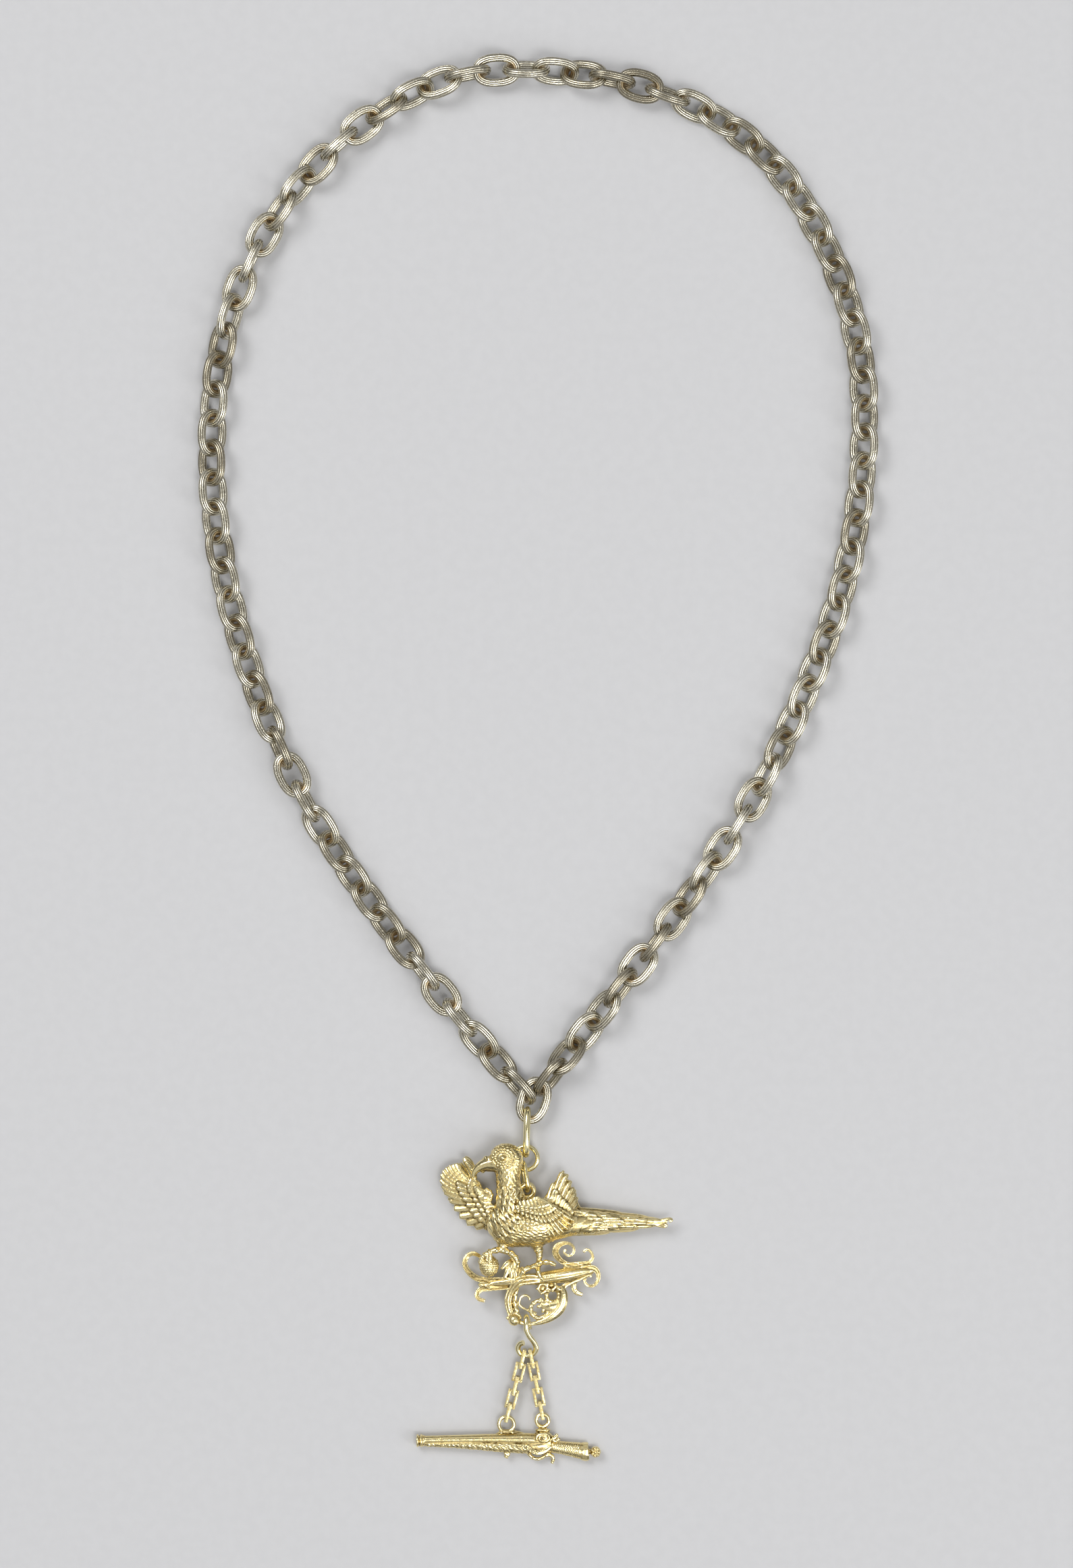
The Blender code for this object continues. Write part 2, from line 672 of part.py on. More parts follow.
# right, up, half width
BRANCH = [(-66, -16, 4), (-46, -15, 6.5), (-23, -10, 8), (0, -8, 8), (37, -3, 8.5), (64, 1, 8), (82, 2, 5)]
RIBBON_LOOP = [
    (-52, -14, 3.5), (-73, -12, 3.5), (-92, -9, 3.2), (-104, 1, 3), (-109, 14, 3), (-105, 23, 2.8),
    (-97, 25, 2.6),
]
LOWER_SCROLL = [(-52, -18, 4), (-71, -21, 4), (-84, -24, 3.5), (-90, -31, 3), (-87, -38, 3), (-78, -41, 2.5)]
UPPER_SCROLL = [
    (72, 8, 3.5), (50, 12, 3.5), (35, 17, 4.5), (27, 27, 5.5), (29, 37, 5), (38, 42, 3), (49, 41, 2.4),
    (55, 33, 2.4), (51, 26, 2.2), (43, 25, 2), (38, 32, 1.8),
]
TENDRIL = [(62, 4, 3), (75, 12, 2.8), (81, 21, 2.4), (79, 29, 2.2), (73, 32, 2.2), (68, 30, 1.8)]
END_CURL = [
    (70, 3, 5), (83, 2, 4), (89, -5, 3), (89, -13, 2.6), (84, -20, 2.6), (76, -20, 2.6), (70, -13, 2.4),
    (71, -3, 2.4),
]
TWIN_HOOK = [(64, -2, 4), (56, -12, 4), (53, -21, 4), (57, -29, 3.8), (65, -33, 2.5)]
SIDE_STEM = [(58, -8, 3.5), (44, -19, 3), (33, -25, 3.5)]
BOTTOM_ARC = [
    (34, -20, 3.5), (40, -32, 4), (40, -45, 4.5), (33, -57, 5), (21, -66, 5), (7, -73, 4), (-6, -76, 3.5),
    (-19, -76, 3.5), (-34, -71, 4),
]
OUTER_STEM = [(-35, -10, 4.5), (-41, -22, 5), (-44, -36, 5), (-43, -51, 5), (-38, -68, 5)]
INNER_STEM = [(-27, -10, 3.5), (-33, -28, 3.2), (-34, -44, 3.2), (-31, -66, 3.5)]
LEFT_TENDRIL = [(-9, -61, 2.5), (-19, -57, 2), (-26, -49, 2), (-26, -40, 2), (-20, -35, 2), (-13, -38, 1.8)]
CALYX_LEAF = [(-38, -12, 6), (-40, 0, 9), (-36, 12, 8), (-31, 21, 3)]
INNER_LEAF = [(34, -44, 5), (17, -48, 8), (5, -46, 5)]
# right, up, half width, half height
ROSETTE = (15, -22, 12, 11)
BUD = (-35, -71, 9.5, 9.5)
# right, up, half diameter of the centreline, half width of the wire
SMALL_RING = (24, -35, 10, 3)
LOWER_RING = (1, -55, 13, 2.8)
HOOK_SEAT = (-17, -76)


def perch(foot, gilt):
    """The branch and its scrolls under the bird's foot; returns the middle of the arc at the hook."""
    square = PERCH_LENGTH / PERCH_SQUARES
    edge = foot + Vector((0, -CLEARANCE, 0))

    def place(right, up):
        return Vector((edge.x + right * square, edge.y + up * square, PERCH_RISE))

    def limb(rows, stations, thickness=0.0, sides=5):
        path = [(place(right, up), half * square) for right, up, half in rows]
        widest = max(half for right, up, half in rows) * square
        flatness = thickness * PERCH_DEPTH / 2 / widest if thickness else 1.0
        return one_piece(smooth_tube, path, stations, sides, flatness)

    def lump(right, up, half_width, half_height, thickness):
        sizes = (half_width * square, half_height * square, thickness * PERCH_DEPTH / 2)
        return one_piece(blob, place(right, up), sizes, 8, 5)

    def hoop(right, up, half_diameter, half_wire):
        wire = 2 * half_wire * square
        diameter = 2 * half_diameter * square + wire
        outline = oval(diameter, diameter, wire, HOOP_CORNERS)
        frame = Frame(place(right, up), (1, 0, 0), (0, 1, 0))
        return one_piece(bent_wire, outline, frame, wire, 4)

    pieces = [
        limb(BRANCH, 7, 1.0, 8),
        limb(RIBBON_LOOP, 8, 0.6),
        limb(LOWER_SCROLL, 6, 0.6),
        limb(UPPER_SCROLL, 13, 0.7),
        limb(TENDRIL, 6),
        limb(END_CURL, 8, 0.7),
        limb(TWIN_HOOK, 5, 0.6),
        limb(SIDE_STEM, 3),
        limb(BOTTOM_ARC, 9, 0.5, 6),
        limb(OUTER_STEM, 5),
        limb(INNER_STEM, 4),
        limb(LEFT_TENDRIL, 6),
        limb(CALYX_LEAF, 4, 0.6, 6),
        limb(INNER_LEAF, 3, 0.5, 6),
        lump(*ROSETTE, 0.9),
        lump(*BUD, 1.0),
        hoop(*SMALL_RING),
        hoop(*LOWER_RING),
    ]
    fused("perch", pieces, gilt)
    return place(*HOOK_SEAT)


# S-hook: 67 squares to its length, counted from the middle of the arc that it hangs over

HOOK_SQUARES = 67
# right, up, off the surface
HOOK = [
    (5, -9, -9), (3, 2, -9.5), (1, 9, -6.5), (0, 11.5, 0), (0, 9, 6.5), (0, 1, 9.5), (0, -8, 8.5),
    (4, -17, 5), (10, -25, 1), (14, -33, -3), (14.5, -39, -5), (10, -45, -7), (1, -47.5, -8),
    (-9, -44.5, -7), (-12.5, -36.5, -5), (-9.5, -30, -2), (-4, -27.5, 1),
]
LEFT_HOOKING = (-3, -47.3, -8)
RIGHT_HOOKING = (6, -46.7, -7.8)


def s_hook(seat, gilt):
    """The wire over the perch's arc; returns its middle where each small chain hangs."""
    square = HOOK_LENGTH / HOOK_SQUARES

    def place(right, up, rise):
        return seat + Vector((right, up, rise)) * square

    path = [(place(*row), HOOK_WIRE / 2) for row in HOOK]
    add_object("s_hook", one_piece(smooth_tube, path, 20, 6), gilt)
    return place(*LEFT_HOOKING), place(*RIGHT_HOOKING)


# Small chains of rectangular links

def rectangle(length, width, wall):
    """Centreline of a rectangular link with clipped corners."""
    half_length = (length - wall) / 2
    half_width = (width - wall) / 2
    clip = wall * 0.45
    corners = []
    for along, across in ((1, 1), (-1, 1), (-1, -1), (1, -1)):
        on_end = Vector((along * half_length, across * (half_width - clip)))
        on_side = Vector((along * (half_length - clip), across * half_width))
        corners += [on_end, on_side] if along * across > 0 else [on_side, on_end]
    return corners


def drop_link(mesh, frame, length, width):
    """A flat-sided rectangular link."""
    outline = rectangle(length, width, DROP_WALL)
    rings = []
    for point, offset in zip(outline, outward_corners(outline)):
        ring = []
        for out, rise in ((-1, 1), (-1, -1), (1, -1), (1, 1)):
            place = point + offset * out * DROP_WALL / 2
            ring.append(frame.at(place.x, place.y, rise * DROP_DEPTH / 2))
        rings.append(ring)
    skin(mesh, rings, closed=True)


def small_chain(side, top, length, turn, bottom_rise, gilt):
    """Links that hang by turns on edge and flat; returns the joint at the lower end."""
    along = Vector((math.cos(turn), math.sin(turn), 0))
    bottom = top + along * length
    bottom.z = bottom_rise
    link_length = length / DROP_LINKS + 2 * DROP_WALL + CLEARANCE
    joints = [top.lerp(bottom, k / DROP_LINKS) for k in range(DROP_LINKS + 1)]
    for k in range(DROP_LINKS):
        direction = joints[k + 1] - joints[k]
        level = direction.cross(Vector((0, 0, 1)))
        upright = level.cross(direction)
        on_edge = k % 2 == 0
        at_end = k in (0, DROP_LINKS - 1)
        frame = Frame((joints[k] + joints[k + 1]) / 2, direction, upright if on_edge else level)
        width = DROP_END_WIDTH if at_end else DROP_WIDTH
        data = one_piece(drop_link, frame, link_length, width)
        add_object("drop_%s_%d" % (side, k + 1), data, gilt)
    return bottom


# Musket: 273 squares to its length, counted from the middle of its left ring, and 22 to its depth

MUSKET_SQUARES = 273
MUSKET_HALF_SQUARES = 11
# along, up, half height, half depth
BARREL = [
    (-133, -24.5, 8.5, 8), (-124.5, -24.5, 8.5, 8), (-123.5, -24.5, 7, 6.5), (-50, -25.5, 10, 8.5),
    (-5, -27, 12, 9.5), (33, -28, 13.5, 10.5), (50, -29, 14, 11), (72, -32, 12, 9.5),
    (95, -36.5, 11.5, 9), (118, -40, 14, 10.5), (121, -40.5, 13, 10),
]
# right, up, half width
BUTT_NECK = [(116, -39, 4), (128, -40.5, 4)]
COCK = [(68, -24, 3.5), (79, -18.5, 2.4)]
STUB = [(0, -34, 4.5), (1, -48, 3)]
GUARD = [(33, -36, 3), (40, -48, 2.6), (51, -51, 2.6), (62, -46, 2.6), (68, -38, 3)]
GUARD_TAIL = [(63, -42, 3), (68, -51, 2.6), (67, -58, 2)]
# right, up, half width, half height, half depth, squares off the surface
KNOB = (132, -41, 8.5, 8.5, 8, 11)
LOCK = (56, -22, 14, 10, 7, 18)
SADDLE_HALF_WIDTH = 13
SADDLE_FOOT = 22


def musket(left_joint, right_joint, gilt):
    """The gun with a ring under each small chain's lower joint."""
    square = MUSKET_LENGTH / MUSKET_SQUARES
    middle = MUSKET_DEPTH / 2
    to_wire = Vector((0, EYE_WIRE / 2 + CLEARANCE / 2, 0))
    left_centre = left_joint + to_wire - Vector((0, (LEFT_EYE_DIAMETER - EYE_WIRE) / 2, 0))
    right_centre = right_joint + to_wire - Vector((0, (RIGHT_EYE_DIAMETER - EYE_WIRE) / 2, 0))

    def place(right, up, rise=None):
        height = middle if rise is None else rise * middle / MUSKET_HALF_SQUARES
        return Vector((left_centre.x + right * square, left_centre.y + up * square, height))

    def barrel_section(row):
        along, up, half_height, half_depth = row
        ring = []
        for k in range(10):
            angle = (k + 0.5) * math.tau / 10
            rise = MUSKET_HALF_SQUARES + half_depth * math.sin(angle)
            ring.append(place(along, up + half_height * math.cos(angle), rise))
        return ring

    def limb(rows, stations, sides=5):
        path = [(place(right, up), half * square) for right, up, half in rows]
        return one_piece(smooth_tube, path, stations, sides)

    def lump(right, up, half_width, half_height, half_depth, rise):
        sizes = (half_width * square, half_height * square, half_depth * middle / MUSKET_HALF_SQUARES)
        return one_piece(blob, place(right, up, rise), sizes, 8, 6)

    def eye(centre, diameter):
        outline = oval(diameter, diameter, EYE_WIRE, RING_CORNERS)
        return one_piece(bent_wire, outline, Frame(centre, (1, 0, 0), (0, 1, 0)), EYE_WIRE, RING_SIDES)

    def saddle(centre, diameter):
        """A web that widens from the foot of a ring down onto the barrel."""
        head = centre - Vector((0, (diameter - EYE_WIRE) / 2, 0))
        foot = Vector((head.x, left_centre.y - SADDLE_FOOT * square, middle))
        path = [(foot, SADDLE_HALF_WIDTH * square), (head, EYE_WIRE * 0.8)]
        return one_piece(tube, path, 6, 0.45)

    pieces = [
        one_piece(skin, [barrel_section(row) for row in BARREL]),
        limb(BUTT_NECK, 2),
        limb(COCK, 2),
        limb(STUB, 2),
        limb(GUARD, 7),
        limb(GUARD_TAIL, 4),
        lump(*KNOB),
        lump(*LOCK),
        eye(left_centre, LEFT_EYE_DIAMETER),
        eye(right_centre, RIGHT_EYE_DIAMETER),
        saddle(left_centre, LEFT_EYE_DIAMETER),
        saddle(right_centre, RIGHT_EYE_DIAMETER),
    ]
    fused("musket", pieces, gilt)


def centre_on_origin():
    """Moves the whole jewel so that the origin is at the middle of its box, on the surface."""
    corners = [vertex.co for item in bpy.data.objects for vertex in item.data.vertices]
    low = Vector([min(corner[axis] for corner in corners) for axis in range(3)])
    high = Vector([max(corner[axis] for corner in corners) for axis in range(3)])
    shift = Vector((-(low.x + high.x) / 2, -(low.y + high.y) / 2, -low.z))
    for item in bpy.data.objects:
        for vertex in item.data.vertices:
            vertex.co += shift


def build():
    clear_scene()
    silver = metal("silver", SILVER, 0.35)
    gilt = metal("gilt", GILT, 0.22)
    bottom = neck_chain(silver)
    hole = jump_rings(bottom, gilt)
    foot = parrot(hole, gilt)
    seat = perch(foot, gilt)
    left_hooking, right_hooking = s_hook(seat, gilt)
    up_to_joint = Vector((0, HOOK_WIRE / 2 + CLEARANCE / 2, 0))
    rise = MUSKET_DEPTH / 2
    left_top = left_hooking + up_to_joint
    right_top = right_hooking + up_to_joint
    left_joint = small_chain("left", left_top, LEFT_DROP_LENGTH, LEFT_DROP_TURN, rise, gilt)
    right_joint = small_chain("right", right_top, RIGHT_DROP_LENGTH, RIGHT_DROP_TURN, rise, gilt)
    musket(left_joint, right_joint, gilt)
    centre_on_origin()


build()
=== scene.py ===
"""Looks of the guild chain: reeded silver links, and a gilt parrot, branch and musket hung from them."""
import random
from math import copysign, cos, pi, radians, sin, tau

import bmesh
import bpy
import numpy as np
from mathutils import Matrix, Vector
from mathutils.bvhtree import BVHTree


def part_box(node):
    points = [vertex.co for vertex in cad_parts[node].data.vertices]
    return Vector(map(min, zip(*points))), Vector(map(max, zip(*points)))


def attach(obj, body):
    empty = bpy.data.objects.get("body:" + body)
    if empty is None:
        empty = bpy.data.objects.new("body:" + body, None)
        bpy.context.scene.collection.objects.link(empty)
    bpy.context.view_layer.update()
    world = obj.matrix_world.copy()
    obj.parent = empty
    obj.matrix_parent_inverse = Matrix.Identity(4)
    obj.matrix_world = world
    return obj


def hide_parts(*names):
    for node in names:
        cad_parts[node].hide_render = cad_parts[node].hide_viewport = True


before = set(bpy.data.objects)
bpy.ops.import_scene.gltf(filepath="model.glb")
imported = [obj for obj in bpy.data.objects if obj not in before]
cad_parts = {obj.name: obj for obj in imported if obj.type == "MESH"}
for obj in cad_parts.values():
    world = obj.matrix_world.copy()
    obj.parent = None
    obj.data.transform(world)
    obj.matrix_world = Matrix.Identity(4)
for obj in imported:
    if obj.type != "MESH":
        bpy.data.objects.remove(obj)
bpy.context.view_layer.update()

MM = 0.001
CLEARANCE = 0.3 * MM
UP = Vector((0, 0, 1))

# Photograph: its frame in pixels, and what a pixel of it measures on the jewel
PHOTO_WIDTH = 1590
PHOTO_HEIGHT = 2324
PHOTO_PIXEL = 0.2 * MM
# The pixel where the route's origin lies
ORIGIN_PIXEL = (797, 1126)
# The camera, in metres above the floor and millimetres of film
CAMERA_HEIGHT = 1.6
SENSOR_WIDTH = 36

# Links of the neck chain, as in the solids
LINK_LENGTH = 14.4 * MM
LINK_WIDTH = 10.0 * MM
LINK_WIRE = 2.6 * MM
LINK_CORNERS = 10
LINK_SQUARENESS = 2.4
# Neighbours are turned apart to this angle, so that their wires clear each other
LEAST_CROSSING = radians(74)
LEFT_LINKS = 44
RIGHT_LINKS = 45
BOTTOM_LINK_TURN = radians(72)
BOTTOM_LINK_ROLL = radians(-2)
# The links' wire here: ten reeds with sharp grooves, a little thinner than the solids' wire
REEDED_WIRE = 2.56 * MM
REEDS = 10
REED_STEPS = 5
REED_DEPTH = 0.2 * MM
REED_CURVE = 0.7
LINK_STATIONS = 42
# Relief in a groove, and how much more a ridge has; the low relief of the grooves gives them the dark
# hollow colour, painted shade together with tarnish
GROOVE_RELIEF = 0.14
RIDGE_RELIEF = 0.8
# Where a link's inner ends meet the next link and take the browner joint colour, painted shade together
# with tarnish and wear, by the cosines of the way round it and round its wire: a start and a run
JOINT_ENDS = (0.72, 0.2)
JOINT_INSIDE = (-0.1, 0.5)

RING_SQUARENESS = 2.6
CIRCLE_SQUARENESS = 2.0
RING_PLAY = 0.45 * MM
RING_STATIONS = 72
# The solids' wires have flats, so round ones are this much thinner all round, to clear each other
ROUND_WIRE_RELIEF = 0.1 * MM
ROUND_WIRE_SIDES = 20
BAIL_LENGTH = 15.5 * MM
BAIL_HEIGHT = 9.4 * MM
BAIL_WIRE = 2.2 * MM
BAIL_TURN = radians(-92)
HEAD_RING_DIAMETER = 8.6 * MM
HEAD_RING_WIRE = 1.6 * MM
HEAD_RING_RISE = 3.5 * MM
HEAD_RING_TILT = radians(10)
BACK_RING_LENGTH = 10.0 * MM
BACK_RING_HEIGHT = 6.2 * MM
BACK_RING_WIRE = 1.5 * MM
BACK_RING_RISE = 3.5 * MM
BACK_RING_TURN = radians(-82)
BACK_RING_LEAN = radians(12)
BACK_RING_BEARING = radians(-125)

PARROT_LENGTH = 68.2 * MM
PARROT_DEPTH = 12.4 * MM
EYELET_HOLE = 2.3 * MM
EYELET_RIM = 1.3 * MM
PERCH_LENGTH = 40.4 * MM
PERCH_RISE = 4.5 * MM
HOOK_LENGTH = 13.4 * MM
HOOK_WIRE = 1.56 * MM
DROP_LINKS = 5
DROP_WIDTH = 3.0 * MM
DROP_END_WIDTH = 3.8 * MM
DROP_WALL = 0.7 * MM
DROP_DEPTH = 1.1 * MM
LEFT_DROP_LENGTH = 20.5 * MM
RIGHT_DROP_LENGTH = 19.5 * MM
LEFT_DROP_TURN = radians(-105)
RIGHT_DROP_TURN = radians(-79.4)
MUSKET_LENGTH = 54.6 * MM
MUSKET_DEPTH = 4.4 * MM
LEFT_EYE_DIAMETER = 5.6 * MM
RIGHT_EYE_DIAMETER = 4.8 * MM
EYE_WIRE = 1.1 * MM
# A cast piece with more triangles than this is thinned to it
MOST_TRIANGLES = 190000

# Route of the chain in millimetres, up the left side and down the right side
LEFT_ROUTE = [
    (-9.0, -92.9), (-28.8, -69.1), (-50.3, -40.8), (-69.4, -10.8), (-83.6, 21.8), (-93.1, 56.5),
    (-96.5, 91.8), (-92.2, 127.0), (-78.5, 159.2), (-55.9, 184.5), (-28.6, 200.6), (0.9, 203.9),
]
RIGHT_ROUTE = [
    (38.4, 196.6), (66.7, 179.3), (85.6, 151.2), (95.4, 119.4), (96.0, 85.4), (90.3, 51.6),
    (78.7, 19.1), (63.7, -11.7), (44.6, -40.6), (24.5, -67.3), (5.9, -90.8),
]
BOTTOM_LINK_CENTRE = (-1.25, -100.65, 4.75)
# The joints in the bottom link, how high the next ones lie, and the rolls of two links at each end
LEFT_END = (-2.85, -99.75, 4.8)
RIGHT_END = (1.5, -96.85, 4.2)
LEFT_END_RISE = 4.55
RIGHT_END_RISE = 5.85
LEFT_END_ROLLS = (65, -42)
RIGHT_END_ROLLS = (-44, 64)
# How each link lies: its roll in degrees, from flat (F) to nearly on edge (K and Q)
LIES = {"F": 0, "j": 22, "p": -22, "i": 38, "o": -38, "I": 56, "O": -56, "K": 74, "Q": -74}
LEFT_LIES = "IoiOFIoioioiQFIoioioioioioioioiojQFIQpiQpioi"
RIGHT_LIES = "ojKpioioioioioioioioioioioioioiojOFIojQFIOFKo"
TURN_SWEEPS = 60
# A link that dips into the floor is lifted by a share of its lack in each sweep
LIFT_SWEEPS = 120
LIFT_SHARE = 0.6
# The route is measured in this many short steps from one of its points to the next
ROUTE_STEPS = 40

chance = random.Random(12)


# Finishes

# The numbers of a Mix node's sockets for colours, as its sockets share their names
MIX_INPUTS = (0, 6, 7)
MIX_RESULT = 2
# Sizes of the patterns, in marks to the metre
GRAIN = 1500
PATCHES = 160
PITS = 1400
SCRATCHES = 900
RIPPLES = 700
FIBRES = 300
# Relief between which the hollows' dark colour gives way to the flank's colour, and that to bright metal;
# both darker colours are painted shade, together with tarnish
OUT_OF_HOLLOW = (0.14, 0.46)
FLANK_TO_BRIGHT = (0.4, 0.68)
# How far the grain and the patches shift that relief, either way
GRAIN_SHIFT = 0.14
PATCH_SHIFT = 0.05
# How much of the flank's colour clouds the patches and the darkest links, and how dull a joint is
CLOUDING = 0.3
DARKEST_LINK = 0.55
JOINT_DULLNESS = 0.12


class Wiring:
    """Adds nodes to a tree; a keyword that is a socket is linked, any other value is set."""

    def __init__(self, tree):
        self.tree = tree

    def add(self, kind, settings=None, **values):
        node = self.tree.nodes.new(kind)
        for setting, value in (settings or {}).items():
            setattr(node, setting, value)
        for label, value in values.items():
            socket = node.inputs[label.replace("_", " ")]
            self.fill(socket, value)
        return node

    def fill(self, socket, value):
        if isinstance(value, bpy.types.NodeSocket):
            self.tree.links.new(value, socket)
        else:
            socket.default_value = value

    def maths(self, operation, first, second):
        node = self.tree.nodes.new("ShaderNodeMath")
        node.operation = operation
        self.fill(node.inputs[0], first)
        self.fill(node.inputs[1], second)
        return node.outputs[0]

    def colours(self, share, first, second):
        node = self.tree.nodes.new("ShaderNodeMix")
        node.data_type = "RGBA"
        for number, value in zip(MIX_INPUTS, (share, first, second)):
            self.fill(node.inputs[number], value)
        return node.outputs[MIX_RESULT]

    def between(self, value, low, high, start=0.0, stop=1.0):
        """Goes smoothly from start to stop while the value goes from low to high."""
        node = self.add("ShaderNodeMapRange", {"interpolation_type": "SMOOTHSTEP"}, Value=value)
        for label, number in (("From Min", low), ("From Max", high), ("To Min", start), ("To Max", stop)):
            node.inputs[label].default_value = number
        return node.outputs["Result"]

    def mottle(self, where, scale, detail=3.0):
        noise = self.add("ShaderNodeTexNoise", Vector=where, Scale=scale, Detail=detail, Roughness=0.55)
        return noise.outputs["Fac"]


def new_effect(name, inputs, outputs):
    """An empty node group with named inputs and outputs; each material gives the inputs their values."""
    group = bpy.data.node_groups.new(name, "ShaderNodeTree")
    for side, sockets in (("INPUT", inputs), ("OUTPUT", outputs)):
        for label, kind in sockets.items():
            group.interface.new_socket(name=label, in_out=side, socket_type="NodeSocket" + kind)
    wiring = Wiring(group)
    return group, wiring, wiring.add("NodeGroupInput"), wiring.add("NodeGroupOutput")


def shade_and_tarnish_effect():
    """Old metal: dark in its hollows, brown on its flanks and bright where hands have worn it; the dark and
    the brown are painted shade, together with tarnish.
    """
    group, wiring, given, result = new_effect(
        "painted shade and tarnish in the hollows",
        {"Place": "Vector", "Relief": "Float", "Bright": "Color", "Flank": "Color", "Hollow": "Color",
         "Polish": "Float", "Dullness": "Float"},
        {"Colour": "Color", "Roughness": "Float"},
    )
    place = given.outputs["Place"]
    grain = wiring.mottle(place, GRAIN)
    patch = wiring.mottle(place, PATCHES, 4.0)
    shift = wiring.between(grain, 0.2, 0.8, -GRAIN_SHIFT, GRAIN_SHIFT)
    shifted_relief = wiring.maths("ADD", given.outputs["Relief"], shift)
    shift = wiring.between(patch, 0.3, 0.7, -PATCH_SHIFT, PATCH_SHIFT)
    shifted_relief = wiring.maths("ADD", shifted_relief, shift)
    # The hollow and flank colours paint shade into the hollows and down the flanks, together with tarnish
    out_of_hollow = wiring.between(shifted_relief, *OUT_OF_HOLLOW)
    painted_shade_and_wear = wiring.between(shifted_relief, *FLANK_TO_BRIGHT)
    colour = wiring.colours(out_of_hollow, given.outputs["Hollow"], given.outputs["Flank"])
    colour = wiring.colours(painted_shade_and_wear, colour, given.outputs["Bright"])
    cloudy = wiring.between(patch, 0.5, 0.75, 0.0, CLOUDING)
    colour = wiring.colours(cloudy, colour, given.outputs["Flank"])
    wiring.fill(result.inputs["Colour"], colour)
    dull = wiring.maths("SUBTRACT", 1.0, painted_shade_and_wear)
    dull = wiring.maths("MULTIPLY", dull, given.outputs["Dullness"])
    polish = wiring.maths("ADD", given.outputs["Polish"], wiring.between(grain, 0.3, 0.7, -0.04, 0.06))
    wiring.fill(result.inputs["Roughness"], wiring.maths("ADD", polish, dull))
    return group


def handling_effect():
    """Fine marks of age: scratches, small pits and the ripple of a hand-finished surface."""
    group, wiring, given, result = new_effect(
        "marks of handling",
        {"Place": "Vector", "Pits": "Float", "Scratches": "Float", "Ripple": "Float"},
        {"Height": "Float"},
    )
    place = given.outputs["Place"]
    cells = wiring.add("ShaderNodeTexVoronoi", Vector=place, Scale=PITS)
    pits = wiring.between(cells.outputs["Distance"], 0.05, 0.3, -1.0, 0.0)
    stretch = wiring.add("ShaderNodeMapping", Vector=place, Rotation=(0.0, 0.0, 0.5), Scale=(1.0, 9.0, 9.0))
    scratches = wiring.mottle(stretch.outputs["Vector"], SCRATCHES, 2.0)
    ripple = wiring.mottle(place, RIPPLES, 2.0)
    height = wiring.maths("MULTIPLY", pits, given.outputs["Pits"])
    height = wiring.maths("ADD", height, wiring.maths("MULTIPLY", scratches, given.outputs["Scratches"]))
    height = wiring.maths("ADD", height, wiring.maths("MULTIPLY", ripple, given.outputs["Ripple"]))
    wiring.fill(result.inputs["Height"], height)
    return group


SHADE_AND_TARNISH = shade_and_tarnish_effect()
HANDLING = handling_effect()


def new_material(name):
    material = bpy.data.materials.new(name)
    material.use_nodes = True
    wiring = Wiring(material.node_tree)
    place = wiring.add("ShaderNodeTexCoord").outputs["Object"]
    return material, wiring, material.node_tree.nodes["Principled BSDF"], place


def shaded_old_metal(name, bright, flank, hollow, polish, dullness, pits, scratches, ripple, depth, proud=None,
              painted_shade_and_wear=None):
    """A metal that is bright where it stands proud, and darker down its flanks and in its hollows: painted
    shade, together with tarnish.

    How proud it stands is read from the piece's relief unless a share is given. The joint colour is that of
    the joints, browner where links meet: painted shade, together with tarnish and wear; it goes with links
    that have a joint attribute and a tone attribute.
    """
    material, wiring, shader, place = new_material(name)
    if proud is None:
        proud = wiring.add("ShaderNodeAttribute", {"attribute_name": "relief"}).outputs["Fac"]
    age = wiring.add("ShaderNodeGroup", {"node_tree": SHADE_AND_TARNISH}, Place=place, Relief=proud, Bright=bright,
                     Flank=flank, Hollow=hollow, Polish=polish, Dullness=dullness)
    colour = age.outputs["Colour"]
    roughness = age.outputs["Roughness"]
    if painted_shade_and_wear:
        # Joints take a browner, duller colour where links meet: painted shade, together with tarnish and
        # wear
        at_joint = wiring.add("ShaderNodeAttribute", {"attribute_name": "painted_shade_and_wear"}).outputs["Fac"]
        tone = wiring.add("ShaderNodeAttribute", {"attribute_name": "tone"}).outputs["Fac"]
        colour = wiring.colours(wiring.between(tone, 0.2, 1.0, 0.0, DARKEST_LINK), colour, flank)
        colour = wiring.colours(at_joint, colour, painted_shade_and_wear)
        roughness = wiring.maths("ADD", roughness, wiring.maths("MULTIPLY", at_joint, JOINT_DULLNESS))
    wiring.fill(shader.inputs["Base Color"], colour)
    wiring.fill(shader.inputs["Roughness"], roughness)
    shader.inputs["Metallic"].default_value = 1.0
    worked = wiring.add("ShaderNodeGroup", {"node_tree": HANDLING}, Place=place, Pits=pits,
                        Scratches=scratches, Ripple=ripple)
    bump = wiring.add("ShaderNodeBump", Height=worked.outputs["Height"], Distance=depth, Strength=1.0)
    wiring.fill(shader.inputs["Normal"], bump.outputs["Normal"])
    return material


def paper():
    """The pale grey sheet under the jewel."""
    material, wiring, shader, place = new_material("grey paper")
    fibre = wiring.between(wiring.mottle(place, FIBRES, 4.0), 0.3, 0.7)
    colour = wiring.colours(fibre, (0.60, 0.60, 0.61, 1), (0.615, 0.615, 0.625, 1))
    wiring.fill(shader.inputs["Base Color"], colour)
    shader.inputs["Roughness"].default_value = 0.9
    shader.inputs["Specular IOR Level"].default_value = 0.1
    return material
